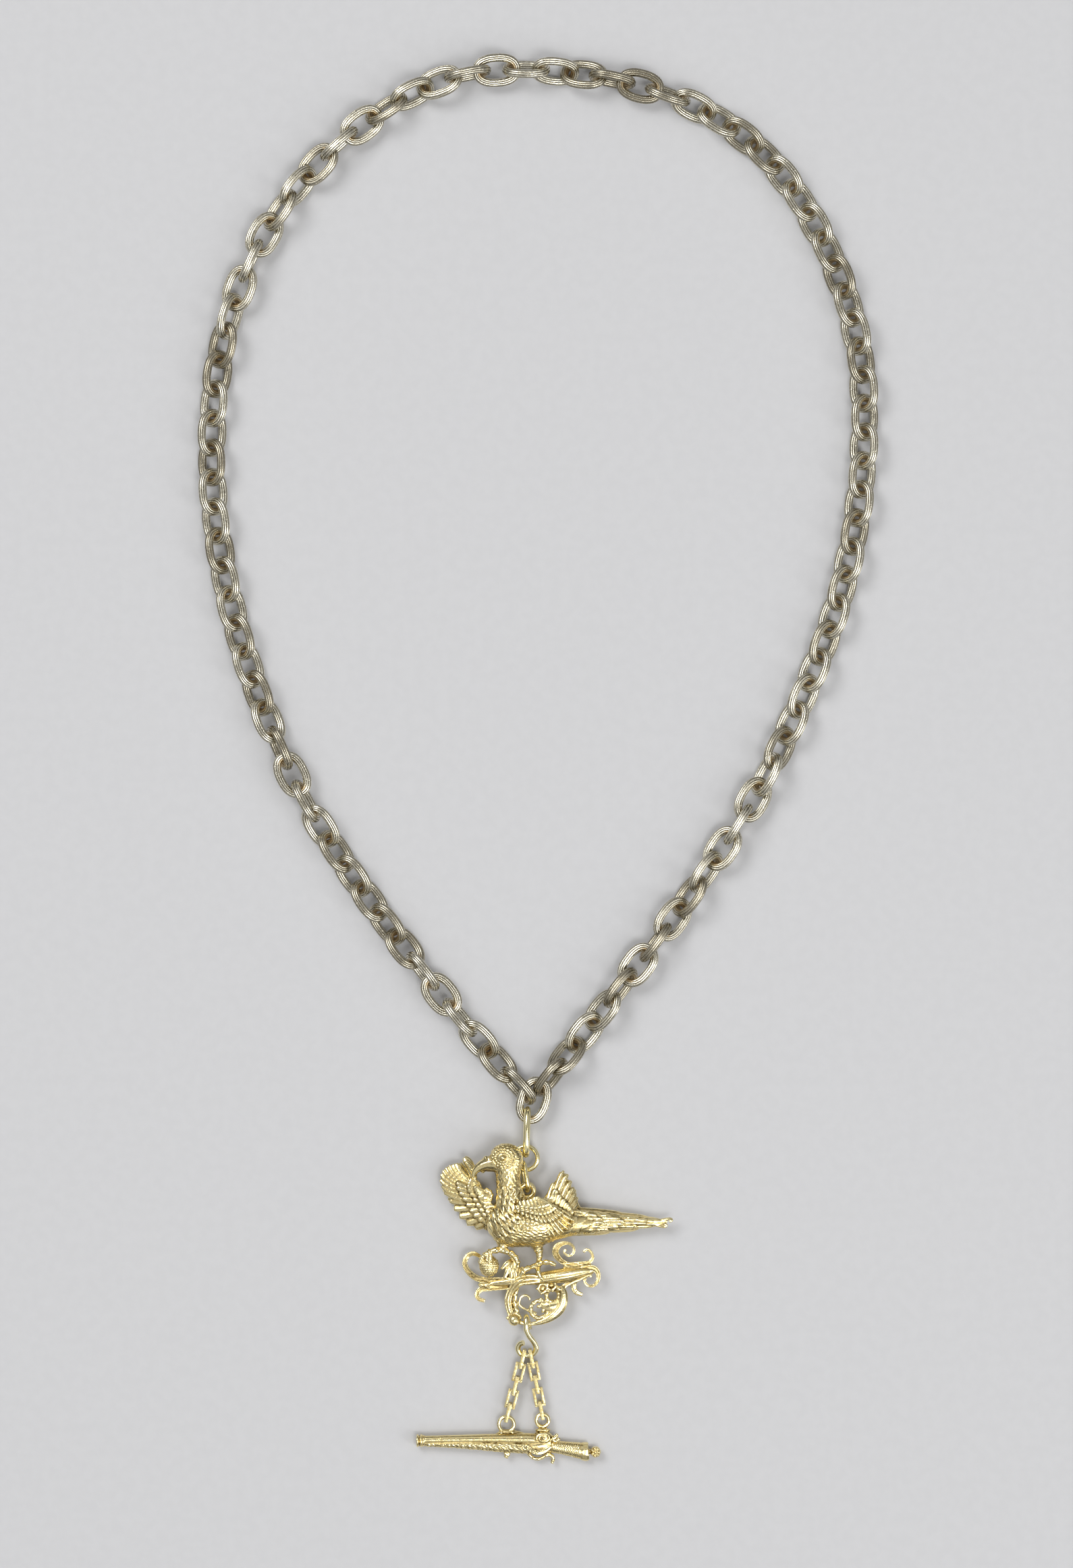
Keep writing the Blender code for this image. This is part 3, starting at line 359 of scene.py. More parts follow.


# Where a piece's relief is read, the hollow and flank colours paint shade into its hollows and down its
# flanks, together with tarnish; bright is the metal's own colour
SILVER = shaded_old_metal(
    "reeded silver", bright=(0.81, 0.77, 0.635, 1), flank=(0.235, 0.195, 0.125, 1),
    hollow=(0.022, 0.016, 0.009, 1), polish=0.22, dullness=0.26, pits=0.5, scratches=0.35, ripple=0.3,
    depth=0.05 * MM, painted_shade_and_wear=(0.50, 0.39, 0.23, 1),
)
CAST_GILT = shaded_old_metal(
    "cast gilding", bright=(0.95, 0.82, 0.45, 1), flank=(0.76, 0.59, 0.255, 1),
    hollow=(0.11, 0.068, 0.018, 1), polish=0.13, dullness=0.2, pits=0.3, scratches=0.3, ripple=0.5,
    depth=0.06 * MM,
)
SMOOTH_GILT = shaded_old_metal(
    "polished gilding", bright=(0.93, 0.83, 0.48, 1), flank=(0.76, 0.63, 0.30, 1),
    hollow=(0.2, 0.15, 0.06, 1), polish=0.14, dullness=0.2, pits=0.15, scratches=0.35, ripple=0.3,
    depth=0.03 * MM, proud=0.8,
)
PITTED_GILT = shaded_old_metal(
    "pitted gilding", bright=(0.90, 0.79, 0.44, 1), flank=(0.62, 0.49, 0.21, 1),
    hollow=(0.12, 0.08, 0.025, 1), polish=0.2, dullness=0.25, pits=1.0, scratches=0.3, ripple=0.5,
    depth=0.09 * MM, proud=0.52,
)


# Ways of working

def only(*items):
    """Selects these objects and nothing else."""
    bpy.ops.object.select_all(action="DESELECT")
    for item in items:
        item.select_set(True)
    bpy.context.view_layer.objects.active = items[0]


def start_afresh():
    if bpy.context.object and bpy.context.object.mode != "OBJECT":
        bpy.ops.object.mode_set(mode="OBJECT")
    bpy.ops.object.select_all(action="DESELECT")


def joined(items):
    only(*items)
    bpy.ops.object.join()
    return bpy.context.object


def add_to(pile, shape, matrix):
    """Lays one copy of a shape in a growing mesh."""
    copy = shape.copy()
    copy.transform(matrix)
    pile.from_mesh(copy)
    bpy.data.meshes.remove(copy)


def piece_of(pile, name):
    """The object that a growing mesh becomes, with its faces outwards."""
    data = bpy.data.meshes.new(name)
    bmesh.ops.recalc_face_normals(pile, faces=pile.faces)
    pile.to_mesh(data)
    pile.free()
    item = bpy.data.objects.new(name, data)
    bpy.context.scene.collection.objects.link(item)
    return item


def set_attribute(mesh, name, values):
    attribute = mesh.attributes.new(name, "FLOAT", "POINT")
    attribute.data.foreach_set("value", np.asarray(values, dtype=np.float32))


def rows_of(items, field, width=3, kind=np.float32):
    """One field of all of a mesh's points, normals or edges, a row for each."""
    values = np.empty(len(items) * width, dtype=kind)
    items.foreach_get(field, values)
    return values.reshape(-1, width)


def smoothed(places, edges, rounds):
    """The points after some rounds of moving each to the middle of its neighbours."""
    count = len(places)
    ends = np.concatenate([edges[:, 0], edges[:, 1]])
    others = np.concatenate([edges[:, 1], edges[:, 0]])
    neighbours = np.maximum(np.bincount(ends, minlength=count), 1)
    for _ in range(rounds):
        moved = [np.bincount(ends, weights=places[others, axis], minlength=count) for axis in range(3)]
        places = np.stack(moved, axis=1) / neighbours[:, None]
    return places


def mark_relief(item, rounds, depth):
    """Stores how far each point stands out of the smoothed surface: 0 in a hollow, 1 on a ridge."""
    mesh = item.data
    places = rows_of(mesh.vertices, "co").astype(np.float64)
    rise = places - smoothed(places, rows_of(mesh.edges, "vertices", 2, np.int32), rounds)
    proud = (rise * rows_of(mesh.vertex_normals, "vector")).sum(axis=1)
    set_attribute(mesh, "relief", np.clip(0.5 + proud / depth, 0, 1))


def cast_in_one(item, voxel):
    """Fuses overlapping shapes into one cast skin, rounds its edges and thins a mesh that is too fine."""
    only(item)
    melt = item.modifiers.new("melt", "REMESH")
    melt.mode = "VOXEL"
    melt.voxel_size = voxel
    bpy.ops.object.modifier_apply(modifier="melt")
    soften = item.modifiers.new("soften", "SMOOTH")
    soften.factor = 0.5
    soften.iterations = 1
    bpy.ops.object.modifier_apply(modifier="soften")
    triangles = 2 * len(item.data.polygons)
    if triangles > MOST_TRIANGLES:
        thin = item.modifiers.new("thin", "DECIMATE")
        thin.ratio = MOST_TRIANGLES / triangles
        bpy.ops.object.modifier_apply(modifier="thin")


def hand_over(item, name, material, nodes, smooth_angle=None):
    """Names a finished piece, puts it in the shared frame, hangs it from the root body and hides the solids
    it stands for.
    """
    item.name = name
    item.data.name = name
    item.data.materials.clear()
    item.data.materials.append(material)
    only(item)
    item.location = SHIFT
    bpy.ops.object.transform_apply(location=True, rotation=True, scale=True)
    if smooth_angle is None:
        bpy.ops.object.shade_smooth()
    else:
        bpy.ops.object.shade_smooth_by_angle(angle=radians(smooth_angle))
    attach(item, "root")
    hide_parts(*nodes)


class Frame:
    """A place with an along, an across and a normal direction."""

    def __init__(self, centre, along, across):
        self.centre = Vector(centre)
        self.along = Vector(along).normalized()
        self.normal = self.along.cross(Vector(across)).normalized()
        self.across = self.normal.cross(self.along)

    def at(self, along, across, normal=0.0):
        return self.centre + self.along * along + self.across * across + self.normal * normal

    def matrix(self, length=1.0, width=1.0, height=1.0):
        """Turns a shape's x, y and z into this frame's along, across and normal."""
        columns = Matrix((self.along * length, self.across * width, self.normal * height)).transposed()
        return Matrix.Translation(self.centre) @ columns.to_4x4()


def curve_point(points, place):
    """A point on the smooth curve through all points; place counts points from the first."""
    first = max(min(int(place), len(points) - 2), 0)
    share = place - first
    before = points[first - 1] if first else points[0] * 2 - points[1]
    after = points[first + 2] if first + 2 < len(points) else points[-1] * 2 - points[-2]
    start = points[first]
    end = points[first + 1]
    leave = (end - before) / 2
    arrive = (after - start) / 2
    cubic = start * 2 - end * 2 + leave + arrive
    square = end * 3 - start * 3 - leave * 2 - arrive
    return start + leave * share + square * share ** 2 + cubic * share ** 3


def sampled(rows, count):
    """Evenly counted rows on the smooth curve through a table's rows."""
    points = [Vector(row) for row in rows]
    return [curve_point(points, (len(points) - 1) * k / (count - 1)) for k in range(count)]


# Rings of wire

def signed_power(value, power):
    return copysign(abs(value) ** power, value)


def oval_point(turn, squareness):
    """A point of an oval that reaches 1 each way; a squareness of 2 makes it a circle."""
    power = 2 / squareness
    return signed_power(cos(turn), power), signed_power(sin(turn), power)


def ring_shape(length, width, wire, squareness, stations, radii):
    """A torus pulled into an oval ring in its own plane; radii go round the wire."""
    start_afresh()
    around = len(radii)
    bpy.ops.mesh.primitive_torus_add(
        major_segments=stations, minor_segments=around, major_radius=width / 2, minor_radius=wire / 2
    )
    ring = bpy.context.object
    half_length = (length - wire) / 2
    half_width = (width - wire) / 2
    for index, vertex in enumerate(ring.data.vertices):
        station, turn = divmod(index, around)
        along, across = oval_point((station + 0.5) * tau / stations, squareness)
        out = Vector((
            signed_power(along, squareness - 1) / half_length,
            signed_power(across, squareness - 1) / half_width,
            0,
        )).normalized()
        tilt = tau * turn / around
        middle = Vector((along * half_length, across * half_width, 0))
        vertex.co = middle + (out * cos(tilt) + UP * sin(tilt)) * radii[turn]
    return ring


def round_wire(wire):
    return [wire / 2 - ROUND_WIRE_RELIEF] * ROUND_WIRE_SIDES


# Neck chain

def link_outline():
    """Centreline of the solids' link."""
    turns = [(k + 0.5) * tau / LINK_CORNERS for k in range(LINK_CORNERS)]
    points = [Vector(oval_point(turn, LINK_SQUARENESS)) for turn in turns]
    reach = max(point.x for point in points)
    spread = max(point.y for point in points)
    half_length = (LINK_LENGTH - LINK_WIRE) / 2
    half_width = (LINK_WIDTH - LINK_WIRE) / 2
    return [Vector((point.x * half_length / reach, point.y * half_width / spread)) for point in points]


LINK_OUTLINE = link_outline()


def evenly_spaced(points, first, last, count):
    """count + 1 points on the curve, at equal distances between two of its own points."""
    fine = ROUTE_STEPS * (last - first)
    places = [first + (last - first) * k / fine for k in range(fine + 1)]
    path = [curve_point(points, place) for place in places]
    reached = [0.0]
    for start, end in zip(path, path[1:]):
        reached.append(reached[-1] + (end - start).length)
    spaced = []
    step = 0
    for k in range(count + 1):
        wanted = reached[-1] * k / count
        while step < fine - 1 and reached[step + 1] < wanted:
            step += 1
        share = (wanted - reached[step]) / (reached[step + 1] - reached[step])
        spaced.append(path[step].lerp(path[step + 1], share))
    return spaced


def link_frame(start, end, roll):
    """A link between two joints, rolled about its long axis; across points into the loop."""
    along = end - start
    inward = along.cross(UP).normalized()
    over = inward.cross(along).normalized()
    return Frame((start + end) / 2, along, inward * cos(roll) + over * sin(roll))


def lowest_point(link):
    """How far along a link its lowest point lies, and its height."""
    heights = [(link.at(point.x, point.y).z - LINK_WIRE / 2, point.x) for point in LINK_OUTLINE]
    height, along = min(heights)
    return along, height


def crossing_rolls(rolls):
    """Turns neighbours that cross too flatly apart, a little at a time."""
    for _ in range(TURN_SWEEPS):
        for k in range(len(rolls) - 1):
            crossing = (rolls[k + 1] - rolls[k] + pi / 2) % pi - pi / 2
            lacking = LEAST_CROSSING - abs(crossing)
            if lacking > 0:
                turn = copysign(lacking / 2, crossing)
                rolls[k] -= turn
                rolls[k + 1] += turn
    return rolls


def in_millimetres(place):
    """The point that two or three numbers in millimetres stand for, at height 0 if there are two."""
    return Vector((*place, 0)[:3]) * MM


def chain_frames():
    """The frames of all links from the bottom link up the left side and down the right side."""
    route = [in_millimetres(place) for place in LEFT_ROUTE + RIGHT_ROUTE]
    nape = len(LEFT_ROUTE) - 1
    joints = evenly_spaced(route, 0, nape, LEFT_LINKS - 1)
    joints += evenly_spaced(route, nape, len(route) - 1, RIGHT_LINKS - 1)[1:]
    rolls = crossing_rolls([radians(LIES[letter]) for letter in LEFT_LIES + RIGHT_LIES])
    rolls[:2] = [radians(roll) for roll in LEFT_END_ROLLS]
    rolls[-2:] = [radians(roll) for roll in RIGHT_END_ROLLS]
    for joint in joints:
        joint.z = LINK_WIRE / 2
    joints[0].z = LEFT_END_RISE * MM
    joints[-1].z = RIGHT_END_RISE * MM
    joints = [in_millimetres(LEFT_END)] + joints + [in_millimetres(RIGHT_END)]
    for _ in range(LIFT_SWEEPS):
        for k, roll in enumerate(rolls):
            along, height = lowest_point(link_frame(joints[k], joints[k + 1], roll))
            if height < 0:
                joints[k].z -= height * (0.5 - along / LINK_LENGTH) * LIFT_SHARE
                joints[k + 1].z -= height * (0.5 + along / LINK_LENGTH) * LIFT_SHARE
    return [link_frame(joints[k], joints[k + 1], roll) for k, roll in enumerate(rolls)]


def bottom_link_frame():
    """The link that closes the loop and carries the pendant."""
    along = Vector((cos(BOTTOM_LINK_TURN), sin(BOTTOM_LINK_TURN), 0))
    flat = Vector((along.y, -along.x, 0))
    across = flat * cos(BOTTOM_LINK_ROLL) + UP * sin(BOTTOM_LINK_ROLL)
    return Frame(in_millimetres(BOTTOM_LINK_CENTRE), along, across)


def ramp(value, start, run):
    """0 up to the start, and 1 after the run."""
    return min(max((value - start) / run, 0), 1)


def reeded_link():
    """One link of reeded wire, its relief marked low in the grooves for painted shade with tarnish, and its
    inner ends marked for the joint colour.
    """
    ridge = [abs(sin(pi * step / REED_STEPS)) ** REED_CURVE for step in range(REED_STEPS)]
    radii = [REEDED_WIRE / 2 - REED_DEPTH * (1 - height) for height in ridge] * REEDS
    link = ring_shape(LINK_LENGTH, LINK_WIDTH, LINK_WIRE, LINK_SQUARENESS, LINK_STATIONS, radii)
    link.name = "link"
    relief = []
    painted_shade_and_wear = []
    around = len(radii)
    for station in range(LINK_STATIONS):
        at_end = abs(cos((station + 0.5) * tau / LINK_STATIONS))
        for turn in range(around):
            inner = -cos(tau * turn / around)
            relief.append(GROOVE_RELIEF + RIDGE_RELIEF * ridge[turn % REED_STEPS])
            # Inner ends of the links, where the next link lies: marked for painted shade, together with
            # tarnish and wear
            painted_shade_and_wear.append(ramp(at_end, *JOINT_ENDS) * ramp(inner, *JOINT_INSIDE))
    set_attribute(link.data, "relief", relief)
    set_attribute(link.data, "painted_shade_and_wear", painted_shade_and_wear)
    return link


def chain_strand(link, frames):
    """Copies of the link, each a little lighter or darker than the next, joined into one strand."""
    copies = []
    for place in frames:
        copy = bpy.data.objects.new("link copy", link.data.copy())
        bpy.context.scene.collection.objects.link(copy)
        copy.data.transform(place.matrix())
        tone = chance.random()
        set_attribute(copy.data, "tone", [tone] * len(copy.data.vertices))
        copies.append(copy)
    return joined(copies)


def neck_chain(bottom):
    link = reeded_link()
    frames = chain_frames()
    left = chain_strand(link, [bottom] + frames[:LEFT_LINKS])
    right = chain_strand(link, frames[LEFT_LINKS:])
    bpy.data.objects.remove(link)
    hand_over(left, "silver_chain_left", SILVER, ["chain_left"])
    hand_over(right, "silver_chain_right", SILVER, ["chain_right"])


# Jump rings

def ring_frame(top, turn, length, wire, lean=0.0):
    """A ring on edge that hangs from a point of its centreline; its across leans off upright."""
    along = Vector((cos(turn), sin(turn), 0))
    level = Vector((-along.y, along.x, 0))
    across = UP * cos(lean) + level * sin(lean)
    return Frame(top + along * (length - wire) / 2, along, across)


def ring_frames(bottom):
    """The frames of the bail, the head ring and the back ring, as the solids have them."""
    down = Vector((0, -1, 0))
    link_end = bottom.at(-(LINK_LENGTH - LINK_WIRE) / 2, 0)
    bail_top = link_end - down * ((LINK_WIRE + BAIL_WIRE) / 2 + RING_PLAY)
    bail_top.z = BAIL_HEIGHT / 2
    bail = ring_frame(bail_top, BAIL_TURN, BAIL_LENGTH, BAIL_WIRE)
    bail_end = bail.at((BAIL_LENGTH - BAIL_WIRE) / 2, 0)
    head_radius = (HEAD_RING_DIAMETER - HEAD_RING_WIRE) / 2
    head_top = bail_end - down * ((BAIL_WIRE + HEAD_RING_WIRE) / 2 + RING_PLAY)
    head_centre = head_top + down * head_radius
    head_centre.z = HEAD_RING_RISE
    along = Vector((cos(HEAD_RING_TILT), 0, sin(HEAD_RING_TILT)))
    head = Frame(head_centre, along, Vector((0, 1, 0)))
    inside = head_radius - (HEAD_RING_WIRE + BACK_RING_WIRE) / 2 - RING_PLAY
    bearing = Vector((cos(BACK_RING_BEARING), sin(BACK_RING_BEARING), 0))
    back_top = head_centre + bearing * inside
    back_top.z = BACK_RING_RISE
    back = ring_frame(back_top, BACK_RING_TURN, BACK_RING_LENGTH, BACK_RING_WIRE, BACK_RING_LEAN)
    return bail, head, back


def jump_rings(bail, head, back):
    for name, node, place, length, width, wire, squareness in (
        ("gilt_bail", "bail_ring", bail, BAIL_LENGTH, BAIL_HEIGHT, BAIL_WIRE, RING_SQUARENESS),
        ("gilt_head_ring", "head_ring", head, HEAD_RING_DIAMETER, HEAD_RING_DIAMETER, HEAD_RING_WIRE,
         CIRCLE_SQUARENESS),
        ("gilt_back_ring", "back_ring", back, BACK_RING_LENGTH, BACK_RING_HEIGHT, BACK_RING_WIRE,
         RING_SQUARENESS),
    ):
        ring = ring_shape(length, width, wire, squareness, RING_STATIONS, round_wire(wire))
        ring.data.transform(place.matrix())
        hand_over(ring, name, SMOOTH_GILT, [node])


BOTTOM = bottom_link_frame()
BAIL, HEAD_RING, BACK_RING = ring_frames(BOTTOM)
# From the route's origin to that of the solids, by the place of the bail ring in both
bail_low, bail_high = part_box("bail_ring")
SHIFT = (bail_low + bail_high) / 2 - BAIL.centre


# Shapes that are cast together

MERGE_DISTANCE = 0.01 * MM
# Angles round a hoop of rod, which laps one step over its start
HOOP_ANGLES = [k * tau / 24 for k in range(26)]
HOOP_STEPS = 60
# A feather's half width along its length, without its tip, and the steps of its rod
FEATHER_WIDTHS = ((0, 0.6), (0.35, 0.92), (0.7, 1.0), (0.9, 0.86))
FEATHER_STEPS = 9
# The share of their width that feathers may have, by chance
FEATHER_CHANCE = (0.92, 1.08)


def lifted_shape():
    """The mesh of the shape just added, whose object goes."""
    blank = bpy.context.object
    shape = blank.data.copy()
    bpy.data.objects.remove(blank)
    return shape


def unit_ball():
    start_afresh()
    bpy.ops.mesh.primitive_uv_sphere_add(segments=14, ring_count=8, radius=1)
    return lifted_shape()


def unit_hoop():
    start_afresh()
    bpy.ops.mesh.primitive_torus_add(major_segments=16, minor_segments=6, major_radius=1, minor_radius=0.36)
    return lifted_shape()


def rolled_skin(pile, rings):
    """A sheet rolled into a closed body through rings of points, its ends drawn to a point."""
    start_afresh()
    around = len(rings[0])
    bpy.ops.mesh.primitive_grid_add(x_subdivisions=around, y_subdivisions=len(rings) + 1)
    sheet = bpy.context.object
    first = sum(rings[0], Vector()) / around
    last = sum(rings[-1], Vector()) / around
    rows = [[first] * around] + rings + [[last] * around]
    for index, vertex in enumerate(sheet.data.vertices):
        row, column = divmod(index, around + 1)
        vertex.co = rows[row][column % around]
    bpy.ops.object.mode_set(mode="EDIT")
    bpy.ops.mesh.select_all(action="SELECT")
    bpy.ops.mesh.remove_doubles(threshold=MERGE_DISTANCE)
    bpy.ops.mesh.normals_make_consistent(inside=False)
    bpy.ops.object.mode_set(mode="OBJECT")
    add_to(pile, sheet.data, Matrix())
    bpy.data.objects.remove(sheet)


def circle_profile(count, flute=1.0):
    """Points round a rod; every third one may lie deeper, which makes flutes."""
    profile = []
    for k in range(count):
        reach = flute if k % 3 == 0 else 1.0
        profile.append((reach * cos(k * tau / count), reach * sin(k * tau / count)))
    return profile


# Sections of rods: across to the right of their way, and up, as shares of the rod's half width
ROUND = circle_profile(10)
FINE_ROUND = circle_profile(20)
FLUTED = circle_profile(24, 0.93)
RIBBON = [
    (-1, -0.6), (-1, 0.75), (-0.72, 0.8), (-0.5, 0.42), (0.5, 0.42), (0.72, 0.8), (1, 0.75), (1, -0.6),
]
STRAP = [
    (-1, -0.6), (-1, 0.5), (-0.82, 0.85), (-0.6, 0.85), (-0.42, 0.5), (-0.22, 0.95), (0.22, 0.95),
    (0.42, 0.5), (0.6, 0.85), (0.82, 0.85), (1, 0.5), (1, -0.6),
]
PLUME = [
    (-1, -1), (-1, 0.2), (-0.66, 0.72), (-0.2, 0.8), (0, 1.0), (0.2, 0.62), (0.66, 0.3), (1, -0.35),
    (1, -1),
]


def rod(pile, rows, steps, profile=ROUND, flatness=1.0, knobs=0.0):
    """A rod along rows of (point, radius); knobs swell it here and there like a bird's toe."""
    path = []
    for k, row in enumerate(sampled([(*point, radius) for point, radius in rows], steps)):
        swell = 1 + knobs * sin(k * 1.7) + knobs * 0.6 * sin(k * 3.1 + 1)
        path.append((Vector(row[:3]), row[3] * swell))
    up = UP.copy()
    rings = []
    for k, (point, radius) in enumerate(path):
        ahead = (path[min(k + 1, steps - 1)][0] - path[max(k - 1, 0)][0]).normalized()
        side = ahead.cross(up).normalized()
        up = side.cross(ahead)
        rings.append([point + side * radius * a + up * radius * flatness * b for a, b in profile])
    rolled_skin(pile, rings)


def at_place(point, sizes, turn=0.0):
    """Stretches a unit shape along the three axes, turns it flat and sets it at a point."""
    return Matrix.Translation(point) @ Matrix.Rotation(turn, 4, "Z") @ Matrix.Diagonal((*sizes, 1))


class Casting:
    """A growing casting drawn on squares, counted right and up from a point of the frame."""

    def __init__(self, origin, square, heights):
        self.origin = origin
        self.square = square
        self.heights = heights
        self.pile = bmesh.new()

    def place(self, right, up, height):
        flat = self.origin.x + right * self.square, self.origin.y + up * self.square
        return Vector((*flat, self.heights(height)))

    def limb(self, rows, steps, height=None, profile=ROUND, flatness=1.0, knobs=0.0):
        """A rod through rows of (right, up, half width, height)."""
        path = []
        for row in rows:
            rise = row[3] if height is None else height
            path.append((self.place(row[0], row[1], rise), row[2] * self.square))
        rod(self.pile, path, steps, profile, flatness, knobs)

    def lump(self, shape, right, up, height, sizes, turn=0.0):
        """sizes are the half width, half length and half depth in squares."""
        scale = [size * self.square for size in sizes]
        add_to(self.pile, shape, at_place(self.place(right, up, height), scale, turn))

    def wreath(self, centre, reaches, angles, sizes, turned=True):
        """Balls round a (right, up, height), each turned outwards if it is asked for."""
        for angle in angles:
            right = centre[0] + reaches[0] * cos(angle)
            up = centre[1] + reaches[1] * sin(angle)
            self.lump(BALL, right, up, centre[2], sizes, angle if turned else 0.0)

    def plume(self, root, tip, half_width, half_depth, bow=0.0, blunt=0.5):
        """One feather between two (right, up, height), bent to its left by a share of its length."""
        root = Vector(root)
        along = Vector(tip) - root
        aside = Vector((-along.y, along.x, 0))
        rows = []
        for share, width in (*FEATHER_WIDTHS, (1, blunt)):
            spot = root + along * share + aside * bow * 4 * share * (1 - share)
            rows.append((spot.x, spot.y, half_width * width, spot.z))
        self.limb(rows, FEATHER_STEPS, profile=PLUME, flatness=half_depth / half_width)

    def tier(self, fan, heights, count, start, stop, half_width, half_depth, rise, lift=0.0, sweep=0.0,
             bow=0.0, blunt=0.5):
        """A row of feathers over a fan of (root right, root up, tip right, tip up).

        Each runs from one share of its line to another. Heights are those at the roots, at the tips
        and how far the fan arches up between; sweep swings the tips along the fan.
        """
        root_height, tip_height, arch = heights
        lines = [Vector(row) for row in fan]
        for k in range(count):
            where = (len(lines) - 1) * k / max(count - 1, 1)
            line = curve_point(lines, where)
            ahead = curve_point(lines, min(max(where + sweep, 0), len(lines) - 1))
            ends = []
            for share, follows, extra in ((start, line, 0), (stop, ahead, lift)):
                flat = Vector(line[:2]).lerp(Vector(follows[2:]), share)
                height = root_height + (tip_height - root_height) * share + arch * share * (1 - share)
                ends.append((flat.x, flat.y, height + rise + extra))
            self.plume(*ends, half_width * chance.uniform(*FEATHER_CHANCE), half_depth, bow, blunt)


BALL = unit_ball()
HOOP = unit_hoop()


def feathering(across, along, point):
    """Heights of staggered feathers, low at the root and 1 at the tip, in rows one unit apart."""
    def edge(row):
        aside = np.abs((across + 0.5 * (row % 2)) % 1 - 0.5) * 2
        return row + 1 - aside ** point, aside

    row = np.floor(along)
    tip, aside = edge(row)
    next_tip, next_aside = edge(row + 1)
    beyond = along > tip
    tip = np.where(beyond, next_tip, tip)
    aside = np.where(beyond, next_aside, aside)
    return 1 - 0.5 * (tip - along) - 0.35 * aside ** 2


def feathered(across, along, width, length, point, height):
    return feathering(across / width, along / length, point) * height


def dots(across, along):
    """Heights of round dots in staggered rows, one unit apart."""
    aside = (across + 0.5 * (np.floor(along) % 2)) % 1 - 0.5
    return np.clip(1.15 - 6 * (aside ** 2 + (along % 1 - 0.5) ** 2), 0, 1)


def near_skin(skin, places, reach):
    """1 for each point that lies on this skin, 0 where something else covers it."""
    found = [skin.find_nearest(Vector(place), reach)[0] for place in places]
    return np.array([0.0 if point is None else 1.0 for point in found])


def engrave(item, casting, heights_at):
    """Moves a casting's upper points out along their normals; heights are in millimetres."""
    mesh = item.data
    places = rows_of(mesh.vertices, "co")
    normals = rows_of(mesh.vertex_normals, "vector")
    right = (places[:, 0] - casting.origin.x) / casting.square
    up = (places[:, 1] - casting.origin.y) / casting.square
    facing = np.clip(normals[:, 2] * 2 + 0.6, 0, 1)
    places += normals * (heights_at(right, up, places) * facing * MM)[:, None]
    mesh.vertices.foreach_set("co", places.ravel())
    mesh.update()


def finish_casting(casting, node, voxel, rounds, depth, heights_at=None):
    """Casts, engraves and hands over; rounds and depth tell how the relief is read."""
    item = piece_of(casting.pile, node + " casting")
    cast_in_one(item, voxel)
    if heights_at:
        engrave(item, casting, heights_at)
    mark_relief(item, rounds, depth)
    hand_over(item, "gilt_" + node, CAST_GILT, [node])


# Parrot: 341 squares to its length, counted from the eyelet's hole; heights are percent of its depth

PARROT_SQUARES = 341
BODY_SIDES = 26
COIL_POINTS = 26
# along, up, half height, half depth, middle depth
BODY = [
    (-60, -48, 2, 6, 42), (-56, -47, 14, 20, 42), (-47, -43, 27, 33, 42), (-32, -46, 36, 46, 38),
    (-7, -48, 35, 50, 38), (18, -48, 34, 50, 38), (43, -46, 27, 44, 38), (68, -47, 20, 31, 41),
    (98, -48, 14, 20, 40), (133, -48, 8, 8, 38),
]
# up, along, half width, half depth, middle depth
NECK = [
    (-39, -25, 20, 28, 50), (-16, -25, 22, 33, 52), (-1, -25, 20, 31, 55), (19, -28, 18.5, 29, 58),
    (31, -28, 20, 28, 60), (40, -29, 23, 29, 61), (50, -30, 25.5, 31, 61), (60, -30, 23, 28, 61),
    (67, -31, 16, 20, 61), (71, -31, 7, 9, 61),
]
# right, up, half width
BEAK = [(-42, 42, 12.5), (-53, 42, 11.5), (-63, 40, 9), (-72, 35, 6.6), (-78, 28, 4.2), (-79, 20, 1.6)]
JAW = [(-46, 35, 6), (-56, 34, 5), (-63, 33.5, 3.4)]
BEAK_HEIGHT = 61
EYE = (-35.5, 51)
# root right, root up, tip right, tip up
FAR_WING = [
    (-71, 8, -104, 41), (-70, 5, -112, 39), (-68, 2, -121, 34), (-66, -1, -127, 26), (-64, -4, -128, 13),
    (-61, -9, -122, -1), (-58, -15, -113, -16), (-55, -21, -105, -31), (-54, -27, -94, -44),
    (-53, -33, -80, -53), (-52, -38, -65, -55),
]
RAISED_WING = [
    (30, -24, 35, -3), (32, -24, 43, 13), (37, -26, 55, 30), (44, -29, 63, 19), (51, -31, 69, 6),
    (57, -33, 73, -6), (62, -35, 76, -18),
]
NEAR_WING = [
    (-16, -20, -9, -37), (-9, -20, -1, -46), (-2, -21, 8, -53), (5, -22, 18, -57), (11, -22, 28, -61),
    (17, -21, 38, -64), (22, -20, 48, -62), (26, -19, 56, -58), (29, -18, 64, -50), (32, -17, 70, -42),
]
TAIL = [
    (60, -28, 150, -38), (62, -33, 188, -42), (62, -41, 207, -45), (62, -49, 200, -50),
    (62, -56, 170, -55), (58, -61, 128, -59),
]
